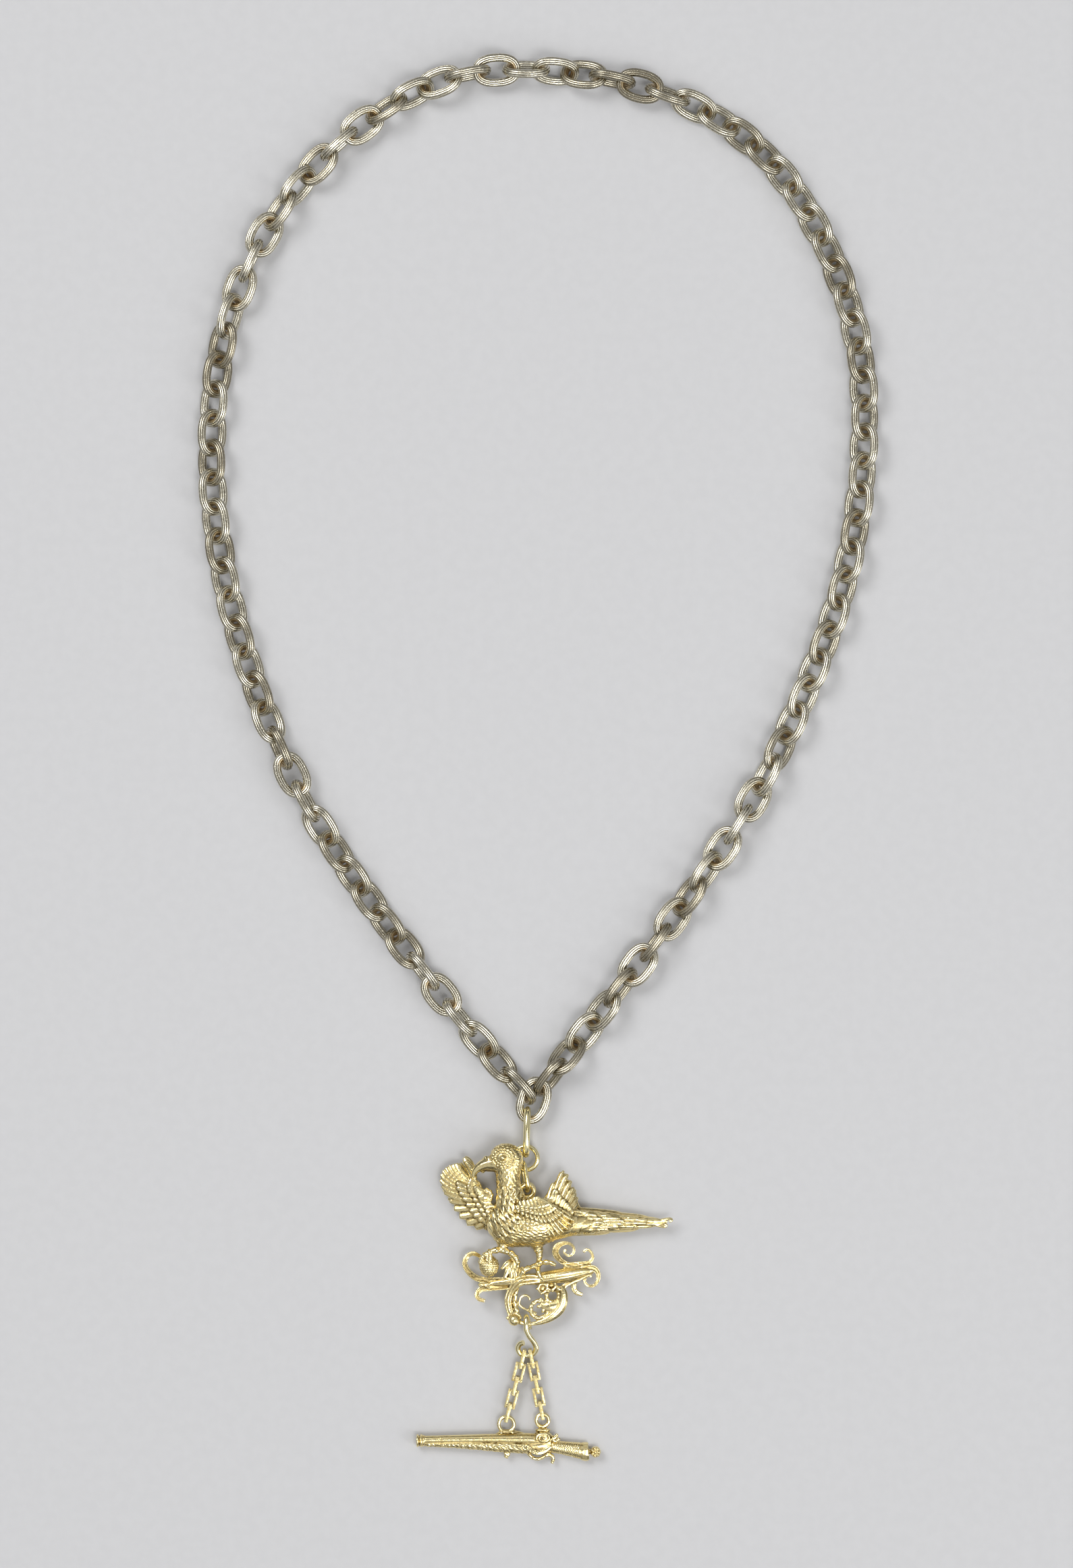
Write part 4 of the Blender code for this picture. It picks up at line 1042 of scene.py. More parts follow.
# right, up, half width, percent of depth
THIGH = [(-38, -68, 10, 42), (-36, -80, 7.5, 46), (-33, -88, 5, 50)]
CLAW_ON_FRUIT = [
    (-31, -87, 4.5, 50), (-48, -87, 4.5, 53), (-60, -92, 4, 52), (-67, -99, 3.5, 53), (-70, -107, 2.5, 55),
]
CLAW_ON_LEAF = [(-34, -87, 4.5, 50), (-21, -93, 4.5, 56), (-14, -103, 4, 58), (-14, -113, 2.5, 54)]
SHANK = [(12, -68, 12, 42), (15, -80, 9, 42), (18, -91, 6, 42), (18, -101, 4.6, 42), (16, -119, 4.2, 42)]
RIGHT_TOE = [(15, -107, 4, 44), (31, -104, 3.6, 58), (43, -108, 2.6, 60)]
LEFT_TOE = [(17, -109, 4, 44), (1, -113, 4, 58), (-7, -119, 3.6, 62), (-10, -125, 2, 60)]
FRONT_TOE = [(16, -112, 4, 42), (17, -118, 3.6, 60), (20, -126, 3, 62), (25, -132, 1.6, 60)]
FRUIT = (-56, -110, 42)
LUG_FOOT = (-4, -24, 40)
FOOT_SEAT = (16, -119)
# Heights of each wing and the tail: at the roots, at the tips, and the arch between
FAR_WING_HEIGHTS = (42, 26, 12)
RAISED_WING_HEIGHTS = (60, 44, 12)
NEAR_WING_HEIGHTS = (79, 70, 12)
TAIL_HEIGHTS = (43, 32, 12)
# How far the body lies under its feathers, in squares across and percent of depth
UNDER_FEATHERS = (1, 2)
# The plumage runs down the neck, round this point and back under the wing
PLUMAGE_TURN = (22, -8)
PLUMAGE_TURN_REACH = 50
# Where, along that way, the neck's feathers and the breast's end
NECK_END = -14
BREAST_END = 42
# Engraved feathers: width, length, how blunt their tips are, and height in millimetres
NECK_SCALES = (6.2, 5.8, 2.6, 0.27)
BREAST_LEAVES = (7.6, 10.5, 1.4, 0.6)
BELLY_STREAKS = (4.8, 9, 1.1, 0.34)
# How far the eye and the curls round it reach
EYE_REACH = 5.5
CURLS_REACH = 17


def parrot_rings(bird, rows, upright, count):
    """Rings of points through the body's or the neck's sections."""
    rings = []
    for first, second, half_width, half_depth, depth in sampled(rows, count):
        ring = []
        for k in range(BODY_SIDES):
            angle = k * tau / BODY_SIDES
            aside = max(half_width - UNDER_FEATHERS[0], 0.5) * cos(angle)
            rise = max(depth + max(half_depth - UNDER_FEATHERS[1], 1) * sin(angle), 0)
            flat = (second + aside, first) if upright else (first, second + aside)
            ring.append(bird.place(*flat, rise))
        rings.append(ring)
    return rings


def parrot_head(bird):
    """Smooth hooked beak with a lump in its gape and two at the nostril, and the ringed eye."""
    bird.limb(BEAK, 18, BEAK_HEIGHT)
    bird.limb(JAW, 8, BEAK_HEIGHT - 6)
    bird.lump(BALL, -65, 30, BEAK_HEIGHT - 4, (3.2, 3, 3))
    bird.lump(BALL, -61, 50, BEAK_HEIGHT + 2, (4.4, 3, 4), 0.5)
    bird.lump(BALL, -56, 49, BEAK_HEIGHT + 10, (2.6, 2.2, 3))
    bird.lump(BALL, *EYE, 89, (3.9, 3.9, 4.6))
    bird.lump(HOOP, *EYE, 87.5, (4.9, 4.7, 3.4))


def far_wing(bird):
    """Long curved feathers above, broad bright ones below, two rows of short ones and the shoulder."""
    fan = FAR_WING
    heights = FAR_WING_HEIGHTS
    bird.tier(fan, heights, 12, 0.0, 0.95, 9, 3.4, -5, bow=0.08, blunt=0.8)
    bird.plume((-78, 12, 48), (-93, 50, 40), 7, 3, -0.1)
    bird.plume((-76, 16, 54), (-90, 44, 48), 3.4, 2.2, -0.1)
    bird.tier(fan[:6], heights, 9, 0.12, 1.0, 4.6, 2.8, 4, 1, bow=0.13)
    bird.tier(fan[5:], heights, 7, 0.2, 1.0, 6, 2.6, 4, 1, bow=0.03, blunt=0.7)
    bird.tier(fan[3:], heights, 10, 0.08, 0.62, 4.4, 2.4, 8, 2, sweep=0.3, bow=0.05)
    bird.tier(fan, heights, 12, 0.0, 0.36, 4, 2.2, 12, 2, sweep=0.3)
    bird.tier(fan[2:], heights, 9, -0.1, 0.18, 3.6, 2, 15, 3)
    angles = [radians(75 - 34 * k) for k in range(7)]
    bird.wreath((-62, -6, 54), (9, 8), angles, (4.6, 3.8, 4))
    bird.lump(BALL, -63, -8, 50, (10, 9, 8))


def near_wings(bird):
    """The wing on the bird's side, in three rows, and the one raised behind it."""
    fan = RAISED_WING
    heights = RAISED_WING_HEIGHTS
    bird.tier(fan, heights, 7, -0.2, 0.95, 7.5, 3.2, -6, blunt=0.7)
    bird.tier(fan[1:], heights, 8, 0.26, 1.02, 3.4, 2.6, 4, 1, sweep=0.2, bow=0.05)
    bird.tier(fan, heights, 8, 0.05, 0.46, 3.8, 2.2, 9, 2)
    bird.plume((35, -14, 66), (44, 4, 66), 4.6, 2.4)
    bird.tier(fan, heights, 8, -0.25, 0.16, 3.4, 2, 13, 2)
    fan = NEAR_WING
    heights = NEAR_WING_HEIGHTS
    bird.tier(fan, heights, 9, -0.2, 0.86, 8.5, 3.2, -9)
    bird.tier(fan, heights, 13, 0.26, 1.02, 2.5, 3.2, 3, 3, bow=-0.06)
    bird.tier(fan, heights, 12, 0.08, 0.56, 2.7, 2.8, 8, 3, bow=-0.06)
    bird.tier(fan, heights, 11, -0.1, 0.3, 3.4, 2.2, 11, 2)
    bird.tier(fan[1:], heights, 9, -0.34, 0.06, 3.4, 2, 13, 2)


def tail(bird):
    """Long thin feathers over one another, with two small curls at the tip."""
    bird.tier(TAIL, TAIL_HEIGHTS, 6, -0.1, 0.95, 6.5, 4, -3, blunt=0.4)
    bird.tier(TAIL, TAIL_HEIGHTS, 8, 0.1, 1.0, 3.2, 2.6, 3)
    bird.tier(TAIL, TAIL_HEIGHTS, 7, 0.04, 0.8, 3, 2.4, 6, 1, sweep=0.2)
    bird.tier(TAIL, TAIL_HEIGHTS, 8, 0.0, 0.56, 2.8, 2.2, 9, 1, sweep=-0.15)
    bird.tier(TAIL, TAIL_HEIGHTS, 7, -0.06, 0.34, 2.8, 2.2, 12, 1)
    bird.tier(TAIL, TAIL_HEIGHTS, 6, -0.12, 0.14, 2.8, 2, 14, 1)
    for along, up, turn in ((214, -42, 1), (206, -52, -1)):
        curl = [
            (along - 30, -46, 2.2, 34), (along - 10, up, 2.4, 35), (along - 2, up + turn, 2.2, 36),
            (along + 0.5, up - 2 * turn, 1.8, 37), (along - 4, up - 3.5 * turn, 1.5, 38),
        ]
        bird.limb(curl, 16)


def feet_and_fruit(bird):
    for rows, steps, knobs in (
        (THIGH, 8, 0.05), (CLAW_ON_FRUIT, 22, 0.2), (CLAW_ON_LEAF, 18, 0.2), (SHANK, 20, 0.1),
        (RIGHT_TOE, 12, 0.2), (LEFT_TOE, 14, 0.2), (FRONT_TOE, 12, 0.15),
    ):
        bird.limb(rows, steps, knobs=knobs)
    right, up, height = FRUIT
    bird.lump(BALL, right, up, height, (14.5, 16.5, 13.5))
    for k in range(3):
        tip = (right - 3 + 3 * k, up + 8 - 3 * (k == 1), height + 22)
        bird.plume((right - 2 + 2 * k, up + 20, height + 14), tip, 2.6, 1.6)


def eyelet(bird, hole):
    """The small coil on the bird's back that the last ring passes through."""
    reach = (EYELET_HOLE + EYELET_RIM) / 2 + 0.12 * EYELET_RIM
    thin = EYELET_RIM * 0.6
    coil = []
    for k in range(COIL_POINTS):
        angle = radians(-120 + 400 * k / (COIL_POINTS - 1))
        spread = reach * (1.06 - 0.1 * k / (COIL_POINTS - 1))
        point = hole.x + spread * cos(angle), hole.y + spread * sin(angle), BACK_RING_RISE
        coil.append((Vector(point), thin))
    rod(bird.pile, coil, 60)
    foot = bird.place(*LUG_FOOT)
    head = Vector((hole.x, hole.y - reach, BACK_RING_RISE))
    rod(bird.pile, [(foot, EYELET_RIM), (foot.lerp(head, 0.5), EYELET_RIM * 0.9), (head, thin)], 8)


def plumage(skin):
    """Heights engraved on the body: scales on the neck, leaves on the breast, streaks below."""
    def heights_at(right, up, places):
        beside = PLUMAGE_TURN[0] - right
        below = PLUMAGE_TURN[1] - up
        leftwards = np.maximum(beside, 0)
        downwards = np.maximum(below, 0)
        across = np.hypot(leftwards, downwards)
        along = np.arctan2(downwards, leftwards + 0.001) * PLUMAGE_TURN_REACH
        along += np.minimum(below, 0) + np.maximum(-beside, 0)
        across = across + 0.9 * np.sin(along * 0.23 + across * 0.11) + 0.5 * np.sin(along * 0.51)
        along = along + 1.1 * np.sin(across * 0.37) + 0.8 * np.sin(across * 0.9 + 1)
        neck = feathered(across, along, *NECK_SCALES)
        breast = feathered(across, along, *BREAST_LEAVES)
        belly = feathered(across, along, *BELLY_STREAKS)
        heights = np.where(along < NECK_END, neck, np.where(along < BREAST_END, breast, belly))
        beside = (right - EYE[0]) / 1.15
        distance = np.hypot(beside, up - EYE[1])
        around = np.arctan2(up - EYE[1], beside) / tau
        curls = dots(around * 18, distance / 3.9) * 0.3
        crown = feathering(around * 34, distance / 5, 2.2) * 0.2
        head = np.where(distance < CURLS_REACH, curls, crown)
        heights = np.where(up > 36 - 0.02 * (right - EYE[0]) ** 2, head, heights)
        heights = np.where(distance < EYE_REACH, 0, heights) * near_skin(skin, places, 0.4 * MM)
        beside = (right - FRUIT[0]) / 15
        above = (up - FRUIT[1]) / 17
        on_fruit = (beside ** 2 + above ** 2 < 1) & (above < 0.55)
        across = np.arcsin(np.clip(beside, -1, 1)) * 4.6
        along = np.arcsin(np.clip(above, -1, 1)) * 5.4
        seeds = dots(across, along) * 0.3
        return np.where(on_fruit, seeds, heights)

    return heights_at


def parrot(hole):
    """The bird, hung by its eyelet's hole; returns where its foot stands on the branch."""
    square = PARROT_LENGTH / PARROT_SQUARES
    bird = Casting(hole, square, lambda percent: PARROT_DEPTH * percent / 100)
    rolled_skin(bird.pile, parrot_rings(bird, BODY, False, 30))
    rolled_skin(bird.pile, parrot_rings(bird, NECK, True, 26))
    skin = BVHTree.FromBMesh(bird.pile)
    parrot_head(bird)
    far_wing(bird)
    near_wings(bird)
    tail(bird)
    feet_and_fruit(bird)
    eyelet(bird, hole)
    finish_casting(bird, "parrot", 0.225 * MM, rounds=10, depth=0.5 * MM, heights_at=plumage(skin))
    return bird.place(*FOOT_SEAT, 0)


# Perch: 202 squares to its length, counted from the branch's upper edge; heights in squares off its middle

PERCH_SQUARES = 202
# right, up, half width, height
BRANCH = [
    (-70, -16, 4, 0), (-46, -14, 7.4, 0), (-23, -10, 8.6, 0), (0, -9, 9.5, 0), (30, -5, 11, 0),
    (50, -2, 10.5, 0), (68, 1, 7.5, 0), (82, 2, 4, 0),
]
RIBBON_LOOP = [
    (-36, -12, 5, 3), (-56, -12, 5.2, 2), (-75, -11.5, 4.6, 0), (-91, -8, 4.6, -1), (-103, 2, 4.2, -2),
    (-108, 14, 3.8, -2), (-104, 24, 3.6, -3), (-96, 27.5, 3.4, -5), (-89, 25, 2.8, -7), (-82, 20, 2.2, -9),
]
LOWER_SCROLL = [
    (-38, -18, 6, 1), (-56, -20, 6, 1), (-73, -22, 5.4, 1), (-84, -25, 4.4, 0), (-90, -32, 3.6, 0),
    (-87, -39, 3.2, 0), (-78, -42, 2.8, 0),
]
LOWER_TOOTH = [(-70, -20, 4, 2), (-82, -16, 3, 2), (-88, -19, 1.6, 1)]
UPPER_SCROLL = [
    (78, 6, 3, 1), (60, 10, 3.5, 2), (46, 12, 3.5, 2), (34, 18, 4, 2), (27, 27, 5, 1), (28, 37, 5, 0),
    (36, 42.5, 3.4, 0), (46, 43, 2.4, 1), (53, 37, 2.2, 2), (52, 28, 2, 2), (45, 25, 1.8, 3),
    (39, 30, 1.8, 3), (42, 35, 1.5, 3),
]
TENDRIL = [
    (38, 9, 5, 2), (56, 11, 5.2, 2), (68, 13, 4, 2), (77, 16, 3, 1), (81, 23, 2.4, 1), (78, 31, 2.2, 1),
    (72, 34, 2, 1), (67, 30, 2, 1),
]
END_CURL = [
    (66, 5, 5, 2), (80, 7, 4.6, 2), (88, 1, 3.8, 1), (89, -10, 3, 1), (83, -19, 2.4, 0), (74, -19, 2.2, 0),
    (69, -12, 2.2, 1), (73, -5, 2, 2), (80, -6, 1.6, 2),
]
TWIN_HOOK = [(62, -6, 4.5, 1), (54, -14, 4.2, 1), (53, -22, 4, 0), (57, -29, 3.8, 0), (66, -33, 2.8, 0)]
SIDE_STEM = [(74, -1, 4, 2), (58, -8, 5, 2), (45, -16, 3.2, 2), (34, -24, 4, 1)]
BOTTOM_ARC = [
    (33, -20, 4, 2), (38, -30, 5.6, 2), (37, -43, 7.6, 1), (31, -55, 8.4, 0), (20, -65, 7, 0),
    (7, -72, 4.8, 0), (-6, -75.5, 3.1, 0), (-19, -75.5, 3.1, 0), (-34, -71, 4, 0),
]
OUTER_STEM = [
    (3, -9, 6, 5), (-14, -9, 8, 5), (-28, -13, 7.4, 4.5), (-38, -24, 5.8, 2), (-43.5, -37, 5.4, 0),
    (-43, -50, 5.2, 0), (-38, -66, 4.6, 0),
]
INNER_STEM = [
    (-27, -14, 3.6, 0), (-32, -28, 3.2, 0), (-34, -44, 3.4, 0), (-31, -58, 4.2, 0), (-31, -66, 4, 0),
]
LEFT_TENDRIL = [
    (-2, -61, 2.6, 0), (-13, -56.4, 2.1, 0), (-23, -51.4, 2, 0), (-28, -45, 2, 1), (-25, -37, 2, 1),
    (-18, -33.5, 2, 1), (-12.5, -37, 1.9, 1), (-12, -41, 1.7, 1),
]
ROSETTE_TWIG = [(0, 0, 2, 6), (3, -7, 2, 5), (9, -14, 2.2, 3)]
CALYX_RIB = [(-26, -6, 3, 6), (-25, 3, 3.4, 8), (-22, 9, 2, 7)]
INNER_LEAF = [(37, -43, 7, 1), (27, -49, 8.6, 1), (14, -50, 7.6, 1), (4, -46, 3.2, 1)]
# right, up of each petal's tip, and its half width; all start from the flower's neck
CALYX_NECK = (-36, 20)
CALYX_PETALS = [(-54, 5, 3.4), (-49, -7, 4), (-40, -9, 4), (-31, -13, 4.6), (-27, -4, 4)]
# right, up, bearing in degrees
LEAF_TEETH = [(13, -43, 110), (6, -40, 130), (2, -50, 200), (8, -56, 235), (18, -58, 260)]
# right, up, half width
CUPS = [(7, -23, 8), (20, -19, 8)]
SMALL_RING = (22, -34, 9.5)
LOWER_RING = (2, -54.4, 12.6)
BUD = (-35, -70, 9)
HOOK_SEAT = (-17, -76)


def perch(foot):
    """The scrolled branch under the parrot's foot; returns the place of the hook on its arc."""
    square = PERCH_LENGTH / PERCH_SQUARES
    edge = foot + Vector((0, -CLEARANCE, 0))
    twig = Casting(edge, square, lambda squares: PERCH_RISE + squares * square)
    for rows, steps, profile, flatness in (
        (BRANCH, 40, FLUTED, 1.0), (RIBBON_LOOP, 44, RIBBON, 0.75), (LOWER_SCROLL, 34, RIBBON, 0.8),
        (LOWER_TOOTH, 8, RIBBON, 0.8), (UPPER_SCROLL, 60, RIBBON, 0.9), (TENDRIL, 34, RIBBON, 0.8),
        (END_CURL, 44, RIBBON, 0.85), (TWIN_HOOK, 20, STRAP, 0.8), (SIDE_STEM, 18, RIBBON, 0.8),
        (BOTTOM_ARC, 44, FLUTED, 0.75), (OUTER_STEM, 40, STRAP, 0.75),
    ):
        twig.limb(rows, steps, profile=profile, flatness=flatness)
    twig.limb(INNER_STEM, 24, knobs=0.12)
    twig.limb(LEFT_TENDRIL, 30)
    twig.limb(ROSETTE_TWIG, 8, knobs=0.1)
    for right, up, half in CALYX_PETALS:
        neck = twig.place(*CALYX_NECK, 1)
        bend = twig.place((CALYX_NECK[0] + right) / 2, (CALYX_NECK[1] + up) / 2 + 2, 5)
        tip = twig.place(right, up, 5)
        petal = [(neck, 2.2 * square), (bend, half * square), (tip, half * 0.6 * square)]
        rod(twig.pile, petal, 12, STRAP, 0.6)
    twig.lump(BALL, *CALYX_NECK, 0, (5, 4.5, 4))
    twig.lump(BALL, -40, 3, 2, (9, 13, 3.5))
    twig.limb(CALYX_RIB, 10, profile=RIBBON, flatness=0.8)
    twig.limb(INNER_LEAF, 20, profile=FINE_ROUND, flatness=0.5)
    for right, up, bearing in LEAF_TEETH:
        twig.lump(BALL, right, up, 1, (4.2, 2.4, 2.6), radians(bearing))
    for right, up, reach in CUPS:
        twig.lump(HOOP, right, up, 3, (reach * 0.74, reach * 0.8, reach))
        twig.lump(BALL, right, up, -4, (reach, reach, 4))
        angles = [k * tau / 5 + right for k in range(5)]
        twig.wreath((right, up, 2), (reach, reach), angles, (2.6, 1.8, 4))
    twig.lump(BALL, 14, -27, 2, (5, 4, 3))
    twig.lump(BALL, 31, -24, 3, (4.5, 4.5, 4.5))
    for right, up, reach in (SMALL_RING, LOWER_RING):
        hoop = []
        for k, angle in enumerate(HOOP_ANGLES):
            thick = 3.2 + 0.5 * sin(2.3 * k)
            hoop.append((right + reach * cos(angle), up + reach * sin(angle), thick, 0))
        twig.limb(hoop, HOOP_STEPS)
    right, up, reach = BUD
    twig.lump(BALL, right, up, 1, (reach, reach, reach * 0.9))
    angles = [radians(20 + 24 * k) for k in range(7)]
    twig.wreath((right, up, 1), (reach + 1, reach + 1), angles, (2.6, 2.6, 3), False)
    finish_casting(twig, "perch", 0.16 * MM, rounds=14, depth=0.4 * MM)
    return twig.place(*HOOK_SEAT, 0)


# S-hook and the two small chains

HOOK_SQUARES = 67
# right, up, off the middle
HOOK = [
    (5, -9, -9), (3, 2, -9.5), (1, 9, -6.5), (0, 11.5, 0), (0, 9, 6.5), (0, 1, 9.5), (0, -8, 8.5),
    (4, -17, 5), (10, -25, 1), (14, -33, -3), (14.5, -39, -5), (10, -45, -7), (1, -47.5, -8),
    (-9, -44.5, -7), (-12.5, -36.5, -5), (-9.5, -30, -2), (-4, -27.5, 1),
]
HOOK_STEPS = 110
# The wire's middle where each small chain hangs
LEFT_HOOKING = (-3, -47.3, -8)
RIGHT_HOOKING = (6, -46.7, -7.8)
# Small links: how much wider the flat ones are, and their bars' thickness to that of the solids' walls
FLAT_LINK_SPREAD = 1.06
LONG_BAR_SHARE = 1.22
SHORT_BAR_SHARE = 1.05
BAR_INSET = 0.05 * MM
BAR_EDGE = 0.12 * MM


def s_hook(seat):
    """The polished wire over the perch's arc; returns its middle where each small chain hangs."""
    square = HOOK_LENGTH / HOOK_SQUARES

    def place(right, up, rise):
        return seat + Vector((right, up, rise)) * square

    pile = bmesh.new()
    rod(pile, [(place(*row), HOOK_WIRE / 2) for row in HOOK], HOOK_STEPS, FINE_ROUND)
    hand_over(piece_of(pile, "hook"), "gilt_hook", SMOOTH_GILT, ["s_hook"], smooth_angle=50)
    return place(*LEFT_HOOKING), place(*RIGHT_HOOKING)


def bar(pile, place, centre, sizes):
    """A small bar with broken edges, at a place in a link's frame."""
    start_afresh()
    bpy.ops.mesh.primitive_cube_add(size=1)
    blank = bpy.context.object
    blank.scale = sizes
    bpy.ops.object.transform_apply(location=False, rotation=False, scale=True)
    bpy.ops.object.mode_set(mode="EDIT")
    bpy.ops.mesh.select_all(action="SELECT")
    bpy.ops.mesh.bevel(offset=BAR_EDGE, segments=2)
    bpy.ops.object.mode_set(mode="OBJECT")
    add_to(pile, blank.data, place.matrix() @ Matrix.Translation(centre))
    bpy.data.objects.remove(blank)


def small_link(place, length, width):
    """Two long bars held by two short ones that sit a little inside their ends."""
    pile = bmesh.new()
    thick = DROP_WALL * LONG_BAR_SHARE
    inset = 0.5 * DROP_WALL + BAR_INSET
    short_bar = (DROP_WALL * SHORT_BAR_SHARE, width - DROP_WALL, DROP_DEPTH)
    for side in (-1, 1):
        bar(pile, place, (0, side * (width - thick) / 2, 0), (length, thick, DROP_DEPTH))
        bar(pile, place, (side * (length / 2 - inset), 0, 0), short_bar)
    return pile


def small_chain(side, top, length, turn, bottom_rise):
    """Links that hang by turns on edge and flat; returns the joint at the lower end."""
    along = Vector((cos(turn), sin(turn), 0))
    bottom = top + along * length
    bottom.z = bottom_rise
    link_length = length / DROP_LINKS + 2 * DROP_WALL + CLEARANCE
    joints = [top.lerp(bottom, k / DROP_LINKS) for k in range(DROP_LINKS + 1)]
    for k in range(DROP_LINKS):
        direction = joints[k + 1] - joints[k]
        level = direction.cross(UP)
        upright = level.cross(direction)
        on_edge = k % 2 == 0
        place = Frame((joints[k] + joints[k + 1]) / 2, direction, upright if on_edge else level)
        width = DROP_END_WIDTH if k in (0, DROP_LINKS - 1) else DROP_WIDTH
        if not on_edge:
            width *= FLAT_LINK_SPREAD
        item = piece_of(small_link(place, link_length, width), "small link")
        node = "drop_%s_%d" % (side, k + 1)
        hand_over(item, "gilt_" + node, PITTED_GILT, [node], smooth_angle=40)
    return bottom


# Musket: 273 squares to its length, counted from the middle of its left ring, and 22 to its depth

MUSKET_SQUARES = 273
MUSKET_MIDDLE = 11
# along, up, half height, half depth
STOCK = [
    (-131, -26, 6.2, 6), (-90, -27, 7, 7), (-50, -28.5, 8.5, 8), (-5, -31, 10, 9), (33, -32, 11, 10),
    (52, -31, 11.5, 10.5), (66, -32, 10, 9.5), (80, -34.5, 9.5, 9), (98, -37.5, 11, 9.5),
    (114, -40, 12.5, 10),
]
STOCK_SIDES = 22
BARREL = [(-132, -23, 5.6), (-90, -22.3, 6.2), (-45, -21.7, 7), (0, -21.5, 8), (38, -22, 9), (66, -27, 8)]
BARREL_HEIGHT = 13
# right, up, half width, on the middle
MUZZLE = [(-133, -24.5, 7.6), (-121, -24.5, 7.6)]
SADDLE = [(-14, -16, 3), (-5, -12.8, 4.6), (6, -12.8, 5), (17, -14.5, 4.4), (38, -18, 2.6)]
STUB = [(0, -36, 4), (1, -44, 4), (-1, -50, 2)]
GUARD = [(31, -38, 3), (35, -46, 2.8), (42, -51, 2.6), (50, -51, 2.6), (58, -46, 2.8), (64, -40, 3)]
GUARD_TAIL = [(58, -46, 3), (65, -46, 3), (69, -51, 2.6), (67, -58, 2.2)]
BUTT_PLATE = [(110, -40, 11), (112, -40, 13.5), (120, -41, 14), (122, -41, 12)]
KNOB_NECK = [(116, -39.5, 4), (124, -40.5, 3.6), (130, -41, 4)]
# right, up, half width, height
COCK = [(62, -24, 3, 18), (70, -20, 3, 19), (76, -14, 2, 19)]
COCK_JAW = [(68, -22, 2.2, 20), (72, -24, 2, 21), (79, -20, 1.6, 19)]
STRAP_LEAF = [
    (30, -30, 2.4, 20), (36, -37, 3.4, 20), (46, -41, 3.6, 20), (58, -38, 3, 20), (66, -32, 2, 20),
]
# right, reach round the barrel, half width
MUZZLE_BANDS = [(-131.5, 8.2, 1.6), (-126, 8.6, 1.4), (-122.5, 7.8, 1.0)]
KNOB = (132, -41)
# Engraved leaves and stipple: width, length, how blunt their tips are, and height in millimetres
STOCK_LEAVES = (4, 9, 1.1, 0.26)
GRIP_STIPPLE = (3.2, 3, 2, 0.16)
# The rings' feet: how far under the left ring's middle they stand, and half widths at foot and waist
FOOT_DROP = 21
FOOT_SPREAD = 19
WAIST_SPREAD = 11


def stock_pattern(right, up, _):
    """Slanting leaves along the fore-end's lower half, and a stippled grip."""
    across = 0.5 * right + 0.86 * up + 0.8 * np.sin(right * 0.21) + 0.4 * np.sin(right * 0.83 + up * 0.4)
    along = 0.86 * right - 0.5 * up + 1.3 * np.sin(up * 0.7 + right * 0.12)
    lower_half = np.clip(-28 - up, 0, 2) / 2
    leaves = feathered(across, along, *STOCK_LEAVES) * lower_half * (right > -118) * (right < 32)
    stipple = feathered(right, up, *GRIP_STIPPLE) * (right > 68) * (right < 109)
    return leaves + stipple


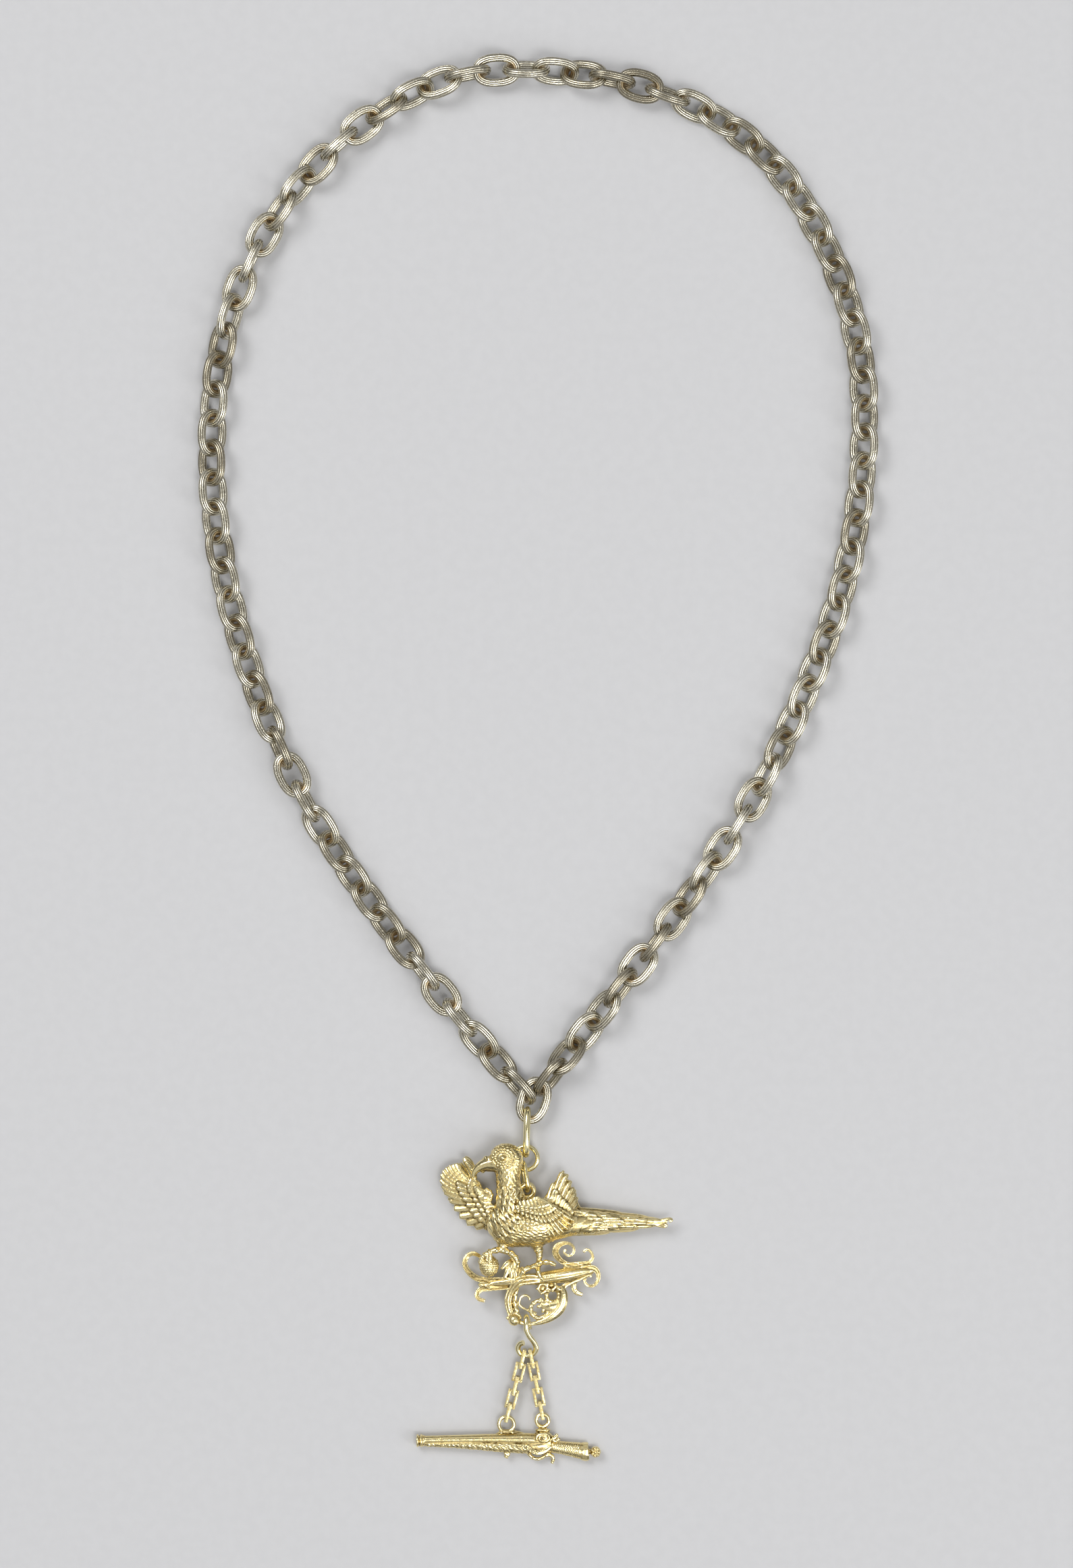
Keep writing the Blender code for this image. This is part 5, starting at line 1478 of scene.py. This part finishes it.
def musket(left_joint, right_joint):
    """The small gun, with the two rings that hang from the small chains' last joints."""
    square = MUSKET_LENGTH / MUSKET_SQUARES
    middle = MUSKET_DEPTH / 2
    to_wire = Vector((0, EYE_WIRE / 2 + CLEARANCE / 2, 0))
    left_centre = left_joint + to_wire - Vector((0, (LEFT_EYE_DIAMETER - EYE_WIRE) / 2, 0))
    right_centre = right_joint + to_wire - Vector((0, (RIGHT_EYE_DIAMETER - EYE_WIRE) / 2, 0))
    origin = Vector((left_centre.x, left_centre.y, 0))
    gun = Casting(origin, square, lambda rise: rise * middle / MUSKET_MIDDLE)

    def standing_ring(right, up, half_height, half_depth, angles):
        return [
            gun.place(right, up + half_height * cos(a), MUSKET_MIDDLE + half_depth * sin(a))
            for a in angles
        ]

    angles = [k * tau / STOCK_SIDES for k in range(STOCK_SIDES)]
    rolled_skin(gun.pile, [standing_ring(*row, angles) for row in sampled(STOCK, 60)])
    gun.limb(BARREL, 44, BARREL_HEIGHT, profile=FINE_ROUND)
    gun.limb(MUZZLE, 4, MUSKET_MIDDLE, profile=FINE_ROUND)
    for right, reach, thick in MUZZLE_BANDS:
        hoop = standing_ring(right, MUZZLE[0][1], reach, reach * 0.98, HOOP_ANGLES)
        rod(gun.pile, [(point, thick * square) for point in hoop], HOOP_STEPS)
    gun.limb(SADDLE, 16, MUSKET_MIDDLE, flatness=0.75)
    gun.limb(COCK, 10, knobs=0.1)
    gun.limb(COCK_JAW, 10, knobs=0.1)
    gun.limb(STUB, 10, MUSKET_MIDDLE, knobs=0.1)
    gun.limb(GUARD, 24, MUSKET_MIDDLE, knobs=0.06)
    gun.limb(GUARD_TAIL, 16, MUSKET_MIDDLE, knobs=0.1)
    gun.limb(STRAP_LEAF, 20, profile=STRAP, flatness=0.7)
    gun.lump(BALL, 55, -20, 16, (14, 10, 6))
    spiral = []
    for k in range(30):
        angle = radians(200 - 26 * k)
        reach = 9.5 - 0.27 * k
        right = 55 + reach * 1.15 * cos(angle)
        up = -19.5 + reach * 0.8 * sin(angle)
        spiral.append((right, up, 1.7 - 0.02 * k, 22))
    gun.limb(spiral, 90)
    gun.lump(BALL, 55, -19.5, 22, (2.4, 2, 2.4))
    gun.lump(BALL, 54, -8.5, 12, (12, 3, 7))
    for right in (-7, 10):
        gun.lump(BALL, right, -13, 13, (2.6, 2.6, 2.6))
    gun.limb(BUTT_PLATE, 8, MUSKET_MIDDLE, flatness=0.72)
    gun.limb(KNOB_NECK, 6, MUSKET_MIDDLE)
    right, up = KNOB
    gun.lump(BALL, right, up, MUSKET_MIDDLE, (8, 8.5, 7.5))
    angles = [k * tau / 7 for k in range(7)]
    gun.wreath((right, up, MUSKET_MIDDLE + 5), (5, 5.4), angles, (3, 1.9, 3.4))
    gun.lump(BALL, right, up, MUSKET_MIDDLE + 8, (2, 2, 2))
    for centre, diameter in ((left_centre, LEFT_EYE_DIAMETER), (right_centre, RIGHT_EYE_DIAMETER)):
        reach = (diameter - EYE_WIRE) / 2
        hoop = [centre + Vector((cos(a), sin(a), 0)) * reach for a in HOOP_ANGLES]
        rod(gun.pile, [(point, EYE_WIRE / 2 * 1.04) for point in hoop], HOOP_STEPS)
        head = centre - Vector((0, reach, 0))
        foot = Vector((head.x, left_centre.y - FOOT_DROP * square, middle))
        waist = foot.lerp(head, 0.5)
        lug = [(foot, FOOT_SPREAD * square), (waist, WAIST_SPREAD * square), (head, EYE_WIRE * 0.8)]
        rod(gun.pile, lug, 14, ROUND, 0.4)
    finish_casting(gun, "musket", 0.15 * MM, rounds=12, depth=0.32 * MM, heights_at=stock_pattern)


# Floor, lights and camera

FLOOR_SIDE = 6
# name, place, sides, watts
LAMPS = [
    ("key", (-1.1, 1.0, 1.9), (1.1, 1.1), 22),
    ("overhead", (0.5, -0.8, 2.5), (1.0, 1.0), 21),
    ("fill", (1.5, -0.8, 1.1), (0.5, 1.4), 8),
]
# How bright the surroundings look to the camera at least
SEEN_SURROUNDINGS = 0.62


def studio():
    start_afresh()
    bpy.ops.mesh.primitive_plane_add(size=FLOOR_SIDE)
    floor = bpy.context.object
    floor.name = "paper"
    floor.data.materials.append(paper())

    for name, place, sides, watts in LAMPS:
        lamp = bpy.data.lights.new(name, "AREA")
        lamp.shape = "RECTANGLE"
        lamp.size, lamp.size_y = sides
        lamp.energy = watts
        holder = bpy.data.objects.new(name, lamp)
        holder.location = place
        holder.rotation_euler = (-Vector(place)).to_track_quat("-Z", "Y").to_euler()
        bpy.context.scene.collection.objects.link(holder)

    world = bpy.data.worlds.new("studio")
    world.use_nodes = True
    wiring = Wiring(world.node_tree)
    ground = world.node_tree.nodes["Background"]
    direction = wiring.add("ShaderNodeTexCoord").outputs["Generated"]
    rise = wiring.add("ShaderNodeSeparateXYZ", Vector=direction).outputs["Z"]
    # Faint near the horizon, strong from halfway up, and weaker again straight overhead
    glow = wiring.between(rise, 0.1, 0.7, 0.03, 0.58)
    glow = wiring.maths("MULTIPLY", glow, wiring.between(rise, 0.88, 0.98, 1.0, 0.3))
    seen = wiring.add("ShaderNodeLightPath").outputs["Is Camera Ray"]
    strength = wiring.maths("MAXIMUM", glow, wiring.maths("MULTIPLY", seen, SEEN_SURROUNDINGS))
    ground.inputs["Color"].default_value = (1.0, 1.0, 1.0, 1)
    wiring.fill(ground.inputs["Strength"], strength)
    bpy.context.scene.world = world

    eye = bpy.data.cameras.new("camera")
    eye.sensor_width = SENSOR_WIDTH
    eye.lens = eye.sensor_width * CAMERA_HEIGHT / (PHOTO_HEIGHT * PHOTO_PIXEL)
    eye.clip_end = 20
    camera = bpy.data.objects.new("camera", eye)
    right = (PHOTO_WIDTH / 2 - ORIGIN_PIXEL[0]) * PHOTO_PIXEL
    up = (ORIGIN_PIXEL[1] - PHOTO_HEIGHT / 2) * PHOTO_PIXEL
    camera.location = (right + SHIFT.x, up + SHIFT.y, CAMERA_HEIGHT)
    bpy.context.scene.collection.objects.link(camera)
    bpy.context.scene.camera = camera
    bpy.context.scene.view_settings.view_transform = "Standard"


def dress():
    """Makes all pieces from the neck down, each hung from the one before."""
    studio()
    neck_chain(BOTTOM)
    jump_rings(BAIL, HEAD_RING, BACK_RING)
    hole = BACK_RING.at((BACK_RING_LENGTH - BACK_RING_WIRE) / 2, 0)
    left_hooking, right_hooking = s_hook(perch(parrot(hole)))
    up_to_joint = Vector((0, HOOK_WIRE / 2 + CLEARANCE / 2, 0))
    joints = []
    for side, hooking, length, turn in (
        ("left", left_hooking, LEFT_DROP_LENGTH, LEFT_DROP_TURN),
        ("right", right_hooking, RIGHT_DROP_LENGTH, RIGHT_DROP_TURN),
    ):
        joints.append(small_chain(side, hooking + up_to_joint, length, turn, MUSKET_DEPTH / 2))
    musket(*joints)


dress()
